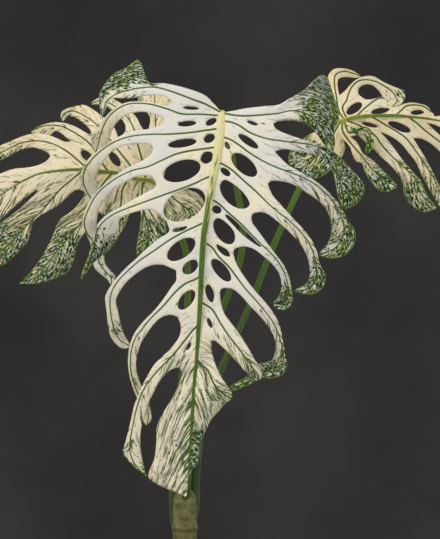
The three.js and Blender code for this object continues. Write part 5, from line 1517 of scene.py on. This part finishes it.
def lathe(name, profile, material, around):
    # a turned shape from (radius, height) pairs in mm, the outside first
    vertices, faces = [], ringFaces(len(profile), around)
    for radius, height in profile:
        for k in range(around):
            turn = 2 * math.pi * k / around
            vertices.append((radius * math.cos(turn) / 1000, radius * math.sin(turn) / 1000, height / 1000))
    first = len(vertices)
    vertices += [(0, 0, profile[0][1] / 1000), (0, 0, profile[-1][1] / 1000)]
    last = (len(profile) - 1) * around
    for k in range(around):
        n = (k + 1) % around
        faces.append((n, k, first))
        faces.append((last + k, last + n, first + 1))
    return objectFrom(name, vertices, faces, material)


print("leaves")
frontMaterials = [
    leafMaterial("frontBladeFace", leafFinish["frontBase"], leafFinish["frontWarm"], 0.5),
    leafMaterial("frontBladeUnderside", leafFinish["frontBase"], leafFinish["frontWarm"], 0.5, under=True),
]
sideMaterials = [
    leafMaterial("sideBladeFace", leafFinish["sideBase"], leafFinish["sideWarm"], 0.3),
    leafMaterial("sideBladeUnderside", leafFinish["sideBase"], leafFinish["sideWarm"], 0.3, under=True),
]
stalks = stalkTree()
ribFinishes = {
    "front": ribMaterial("frontMidribFinish", colour(226, 220, 160), colour(84, 114, 38), (-0.02, 0.56)),
    "side": ribMaterial("sideMidribFinish", colour(190, 184, 88), colour(110, 132, 40), (-0.3, 0.5)),
}
ribWidths = {   # how far along, and half the width in mm
    "front": [
        (0, 2.6), (0.008, 3.9), (0.02, 4.4), (0.12, 4.3), (0.22, 3.7), (0.36, 2.9), (0.5, 2.3), (0.75, 1.8),
        (0.88, 1.2), (1, 0.6),
    ],
    "left": [(0, 3.0), (0.1, 2.1), (0.3, 1.6), (0.6, 1.2), (1, 0.7)],
    "right": [(0, 3.0), (0.1, 2.0), (0.3, 1.5), (0.6, 1.1), (1, 0.7)],
}
# the petioles' colours: pale tip, green top and a dark foot, the dark foot partly painted shade
petioleColourAndPaintedShade = stalkMaterial(
    "petioleColourAndPaintedShade", colour(196, 194, 116), colour(92, 124, 40), colour(48, 70, 22), colour(96, 118, 48))

blades = {}
for name, leaf, materials, ribFinish in (
    ("front", frontLeaf, frontMaterials, ribFinishes["front"]),
    ("left", leftLeaf, sideMaterials, ribFinishes["side"]),
    ("right", rightLeaf, sideMaterials, ribFinishes["side"]),
):
    obj, midrib = makeBlade(name + "Blade", leaf, materials)
    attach(obj, "root")
    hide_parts("leaf_" + name)
    rib = makeRib(name + "Midrib", midrib, ribWidths[name], ribFinish)
    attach(rib, "root")

print("petioles")
petiole = {
    "radius": 3.6, "foot": 6.2, "rings": 110, "sides": 24,
    "swells": (0.55, 0.92), "narrows": (0.96, 1.02),   # share of the length, at the foot
    "knee": 0.9, "kneeAt": 0.03,
}
for name, path in petiolePaths.items():
    fractions = np.linspace(0, 1, petiole["rings"])
    foot = smoothStep(*petiole["swells"], fractions) - smoothStep(*petiole["narrows"], fractions)
    radii = petiole["radius"] * (0.9 + 0.1 * fractions) + (petiole["foot"] - petiole["radius"]) * foot
    fromKnee = (fractions - petiole["kneeAt"]) / petiole["kneeAt"]
    radii = radii + petiole["knee"] * np.exp(-(fromKnee ** 2))
    points = SmoothPath([place(p) for p in path]).at(fractions)
    obj = makeStalk(name + "Petiole", points, radii, petioleColourAndPaintedShade, petiole["sides"])
    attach(obj, "root")
    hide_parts("petiole_" + name)

print("cane")
caneSizes = {
    "rings": [
        (118, 9), (126, 11.5), (140, 12.4), (154, 12.5), (158.5, 12.9), (160.2, 14), (162, 13.9),
        (163.6, 12.9), (170, 12.6), (182, 12.8), (185, 13.1), (186.6, 14.2), (188.2, 14.1), (190, 13),
        (198, 12.8), (209, 13.1), (211.4, 13.4), (212.8, 14.4), (214.6, 14.3), (216.4, 13.2),
        (228, 12.9), (239, 12.8), (247, 11.8), (252, 9.8), (255, 7.4), (256, 5),
    ],
    "around": 48,
    "rootSides": 14,
    "rootRings": 60,
    "rootRadius": 3.0,
    "rootTaper": 0.28,
    "rootKnobs": 0.05,
    "roots": [
        [(9, -6, 190), (17, -12, 178), (25, -19, 156), (31, -25, 132), (33, -27, 116)],
        [(-10, -3, 165), (-19, -9, 158), (-29, -15, 143), (-34, -18, 126), (-35, -19, 114)],
        [(4, 10, 186), (9, 20, 176), (13, 29, 155), (15, 34, 132), (15, 35, 114)],
    ],
}
scarLevels = (0.161, 0.1873, 0.2137)   # m
caneFinish = caneMaterial(
    "caneFinish", colour(78, 82, 40), colour(128, 122, 72), colour(92, 72, 44), scarLevels)
cane = lathe("caneStem", [(r, z) for z, r in caneSizes["rings"]], caneFinish, caneSizes["around"])
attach(cane, "root")
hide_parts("cane")
rootFinish = grainyMaterial(
    "aerialRootFinish", colour(96, 78, 50), colour(150, 128, 86), 0.8, 240.0, 0.0006)
for number, points in enumerate(caneSizes["roots"], 1):
    fractions = np.linspace(0, 1, caneSizes["rootRings"])
    knobs = caneSizes["rootKnobs"] * np.sin(31 * fractions + number)
    radii = caneSizes["rootRadius"] * (1 - caneSizes["rootTaper"] * fractions + knobs)
    points = SmoothPath(points).at(fractions)
    root = makeStalk("aerialRoot" + str(number), points, radii, rootFinish, caneSizes["rootSides"])
    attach(root, "root")

print("pot")
potSizes = {
    "height": 160, "topRadius": 92, "baseRadius": 66, "wall": 2.4, "rimHeight": 18, "rimStep": 3.2,
    "cornerRadius": 1.2, "holes": 6, "holeRadius": 5, "holeCircle": 42, "holeSides": 24, "around": 128,
}


def potRadius(height):
    spread = potSizes["topRadius"] - potSizes["baseRadius"]
    return potSizes["baseRadius"] + spread * height / potSizes["height"]


def roundedCorners(points, radius, steps=5):
    # a profile with each inner corner drawn as a short arc
    made = [points[0]]
    for before, corner, after in zip(points, points[1:], points[2:]):
        p, q, n = (np.array(v, dtype=float) for v in (before, corner, after))
        reach = min(radius, 0.45 * np.linalg.norm(p - q), 0.45 * np.linalg.norm(n - q))
        start, end = q + unit(p - q) * reach, q + unit(n - q) * reach
        for k in range(steps + 1):
            t = k / steps
            made.append(tuple((1 - t) ** 2 * start + 2 * t * (1 - t) * q + t * t * end))
    return made + [points[-1]]


def makePot(material):
    top, wall, step = potSizes["height"], potSizes["wall"], potSizes["rimStep"]
    rimFoot = top - potSizes["rimHeight"]
    outline = [
        (0.5, 0), (potRadius(0) - 1, 0), (potRadius(4), 4), (potRadius(rimFoot), rimFoot),
        (potRadius(rimFoot) + step, rimFoot + 1.6), (potRadius(top) + step, top),
        (potRadius(top) - wall, top), (potRadius(wall) - wall - 1, wall + 0.6),
        (potRadius(wall) - wall - 3, wall), (0.5, wall),
    ]
    obj = lathe("potShell", roundedCorners(outline, potSizes["cornerRadius"]), material, potSizes["around"])
    drill = bpy.data.meshes.new("drill")
    vertices, faces, sides = [], [], potSizes["holeSides"]
    for number in range(potSizes["holes"]):
        middle = 2 * math.pi * (number + 0.5) / potSizes["holes"]
        first = len(vertices)
        for level in (-0.01, 0.01):
            for k in range(sides):
                turn = 2 * math.pi * k / sides
                x = potSizes["holeCircle"] * math.cos(middle) + potSizes["holeRadius"] * math.cos(turn)
                y = potSizes["holeCircle"] * math.sin(middle) + potSizes["holeRadius"] * math.sin(turn)
                vertices.append((x / 1000, y / 1000, level))
        for k in range(sides):
            n = (k + 1) % sides
            faces.append((first + k, first + n, first + sides + n, first + sides + k))
        faces.append(tuple(first + sides - 1 - k for k in range(sides)))
        faces.append(tuple(first + sides + k for k in range(sides)))
    drill.from_pydata(vertices, [], faces)
    drills = bpy.data.objects.new("drill", drill)
    bpy.context.collection.objects.link(drills)
    cut = obj.modifiers.new("holes", "BOOLEAN")
    cut.operation = "DIFFERENCE"
    cut.object = drills
    cut.solver = "EXACT"
    plainMesh(obj)
    bpy.data.objects.remove(drills)
    return obj


potFinish = grainyMaterial("potFinish", colour(50, 50, 52), colour(58, 58, 60), 0.48, 700.0, 0.0002)
pot = makePot(potFinish)
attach(pot, "root")
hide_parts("pot")

print("soil")
soilSizes = {
    "level": 143, "relief": 3.4, "gap": 0.5, "around": 72, "rings": 30,
    "edgeDrop": 2, "edge": 12, "footLift": 1.2, "footInset": 1.5,
}
scattered = {"seed": 11, "chips": 620, "grit": 420, "area": 0.022, "rimGap": 8, "tilt": 0.6}


def soilHeight(x, y):
    wave = math.sin(x * 0.13 + 1.2) * math.cos(y * 0.16) + 0.6 * math.sin(x * 0.31 + y * 0.27)
    return soilSizes["level"] + soilSizes["relief"] * wave / 1.6


def soilPlug(material):
    # a plug that fills the pot, its top uneven
    around, rings = soilSizes["around"], soilSizes["rings"]
    edgeLevel = soilSizes["level"] - soilSizes["edgeDrop"]
    topRadius = potRadius(edgeLevel) - potSizes["wall"] - soilSizes["gap"]
    vertices, faces = [(0, 0, soilHeight(0, 0) / 1000)], []
    for ring in range(1, rings + 1):
        share = ring / rings
        for k in range(around):
            turn = 2 * math.pi * k / around
            x, y = topRadius * share * math.cos(turn), topRadius * share * math.sin(turn)
            atEdge = share ** soilSizes["edge"]
            level = soilHeight(x, y) * (1 - atEdge) + edgeLevel * atEdge
            vertices.append((x / 1000, y / 1000, level / 1000))
    foot = potSizes["wall"] + soilSizes["gap"] + soilSizes["footLift"]
    footRadius = potRadius(foot) - potSizes["wall"] - soilSizes["gap"] - soilSizes["footInset"]
    for k in range(around):
        turn = 2 * math.pi * k / around
        x, y = footRadius * math.cos(turn), footRadius * math.sin(turn)
        vertices.append((x / 1000, y / 1000, foot / 1000))
    vertices.append((0, 0, foot / 1000))
    last = len(vertices) - 1
    for k in range(around):
        n = (k + 1) % around
        faces.append((0, 1 + k, 1 + n))
        for ring in range(rings):
            a = 1 + ring * around
            faces.append((a + k, a + around + k, a + around + n, a + n))
        faces.append((last, last - around + n, last - around + k))
    return objectFrom("soilPlug", vertices, faces, material)


# Bark chips and grit lie scattered on the soil, in one tree of Geometry Nodes
def scatterTree():
    tree, given = newTree("scatterOnSoil", (
        ("Density", "Float"), ("Seed", "Int"), ("Smallest", "Float"), ("Largest", "Float"),
        ("Flatness", "Float"), ("Inner Radius", "Float"), ("Outer Radius", "Float"), ("Finish", "Material"),
    ))
    points = addNode(tree, "GeometryNodeDistributePointsOnFaces", {
        "Mesh": given["Geometry"], "Density": given["Density"], "Seed": given["Seed"]})
    x, y, z = partsOf(tree, addNode(tree, "GeometryNodeInputPosition").outputs[0])
    across = addNode(tree, "ShaderNodeCombineXYZ", {0: x, 1: y}).outputs[0]
    reach = addNode(tree, "ShaderNodeVectorMath", {0: across}, operation="LENGTH").outputs["Value"]
    tooNear = maths(tree, "LESS_THAN", reach, given["Inner Radius"])
    tooFar = maths(tree, "GREATER_THAN", reach, given["Outer Radius"])
    lowest = (soilSizes["level"] - soilSizes["relief"] - 1) / 1000
    tooLow = maths(tree, "LESS_THAN", z, lowest)
    outside = maths(tree, "MAXIMUM", maths(tree, "MAXIMUM", tooNear, tooFar), tooLow)
    kept = addNode(tree, "GeometryNodeDeleteGeometry", {
        "Geometry": points.outputs["Points"], "Selection": outside})
    chip = addNode(tree, "GeometryNodeMeshIcoSphere", {"Radius": 0.5, "Subdivisions": 1})
    shape = addNode(tree, "ShaderNodeCombineXYZ", {0: 1.5, 1: 0.8, 2: given["Flatness"]}).outputs[0]
    squashed = addNode(tree, "GeometryNodeTransform", {"Geometry": chip.outputs["Mesh"], "Scale": shape})
    low, high = (-scattered["tilt"], -scattered["tilt"], 0), (scattered["tilt"], scattered["tilt"], 6.283)
    values = {0: low, 1: high, "Seed": given["Seed"]}
    turn = addNode(tree, "FunctionNodeRandomValue", values, data_type="FLOAT_VECTOR")
    values = {2: given["Smallest"], 3: given["Largest"], "Seed": given["Seed"]}
    size = addNode(tree, "FunctionNodeRandomValue", values, data_type="FLOAT")
    placed = addNode(tree, "GeometryNodeInstanceOnPoints", {
        "Points": kept.outputs["Geometry"], "Instance": squashed.outputs["Geometry"],
        "Rotation": turn.outputs[0], "Scale": size.outputs[1],
    })
    return finishTree(tree, placed.outputs["Instances"], given["Finish"])


def scatter(name, ground, material, **sizes):
    obj = bpy.data.objects.new(name, ground.data.copy())
    bpy.context.collection.objects.link(obj)
    modifier = obj.modifiers.new("scatter", "NODES")
    modifier.node_group = scatters
    setInput(modifier, "Finish", material)
    for key, value in sizes.items():
        setInput(modifier, key, value)
    return plainMesh(obj)


soilFinish = grainyMaterial("soilFinish", colour(34, 24, 18), colour(74, 54, 38), 0.95, 260.0, 0.002)
barkFinish = grainyMaterial("barkFinish", colour(58, 36, 22), colour(122, 82, 52), 0.85, 150.0, 0.0008)
gritFinish = grainyMaterial("gritFinish", colour(196, 190, 178), colour(232, 228, 220), 0.9, 300.0, 0.0005)
soil = soilPlug(soilFinish)
scatters = scatterTree()
reach = (potRadius(soilSizes["level"]) - scattered["rimGap"]) / 1000
bark = scatter("barkChips", soil, barkFinish, **{
    "Density": scattered["chips"] / scattered["area"], "Seed": scattered["seed"],
    "Smallest": 0.004, "Largest": 0.0095, "Flatness": 0.5, "Inner Radius": 0.016, "Outer Radius": reach,
})
grit = scatter("perliteGrit", soil, gritFinish, **{
    "Density": scattered["grit"] / scattered["area"], "Seed": scattered["seed"] + 1,
    "Smallest": 0.0014, "Largest": 0.003, "Flatness": 0.8, "Inner Radius": 0.015, "Outer Radius": reach,
})
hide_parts("soil")
for piece in (soil, bark, grit):
    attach(piece, "root")
    print(piece.name, len(piece.data.polygons), "faces")

print("stage")
floorFinish = grainyMaterial("floorFinish", colour(210, 208, 204), colour(213, 211, 207), 0.8, 30.0, 0.0001)
floor = lathe("floor", [(950, -6), (950, -0.2)], floorFinish, 128)

world = bpy.data.worlds.new("studio")
bpy.context.scene.world = world
world.use_nodes = True
sky = world.node_tree
background = sky.nodes["Background"]
rays = addNode(sky, "ShaderNodeLightPath")
direction = addNode(sky, "ShaderNodeTexCoord").outputs["Generated"]
patches = ramp(sky, noiseAt(sky, direction, 7.0, 4.0), 0.3, 0.7)
seen = mixColours(sky, patches, colour(44, 41, 42), colour(56, 53, 53))
lit = mixColours(sky, rays.outputs["Is Camera Ray"], (0.42, 0.42, 0.42, 1), seen)
sky.links.new(lit, background.inputs["Color"])


def areaLight(name, where, target, size, power):
    data = bpy.data.lights.new(name, "AREA")
    data.size = size
    data.energy = power
    obj = bpy.data.objects.new(name, data)
    bpy.context.collection.objects.link(obj)
    obj.location = where
    obj.rotation_euler = (Vector(target) - Vector(where)).to_track_quat("-Z", "Y").to_euler()


plantMiddle = (0, 0, 0.5)
areaLight("keyLight", (-1.1, -1.5, 1.9), plantMiddle, 1.0, 27)
areaLight("fillLight", (1.6, -1.4, 1.0), plantMiddle, 1.4, 9)
areaLight("backLight", (0.5, 1.5, 1.6), plantMiddle, 1.2, 14)

bpy.context.scene.view_settings.view_transform = "Standard"
cameraData = bpy.data.cameras.new("camera")
cameraData.sensor_width = 36
cameraData.lens = cameraData.sensor_width * sheet["distance"] / sheet["height"]
camera = bpy.data.objects.new("camera", cameraData)
bpy.context.collection.objects.link(camera)
cameraY = sheet["frontY"] - sheet["distance"]
camera.location = (sheet["worldX"] / 1000, cameraY / 1000, sheet["worldZ"] / 1000)
camera.rotation_euler = (math.pi / 2, 0, 0)
bpy.context.scene.camera = camera
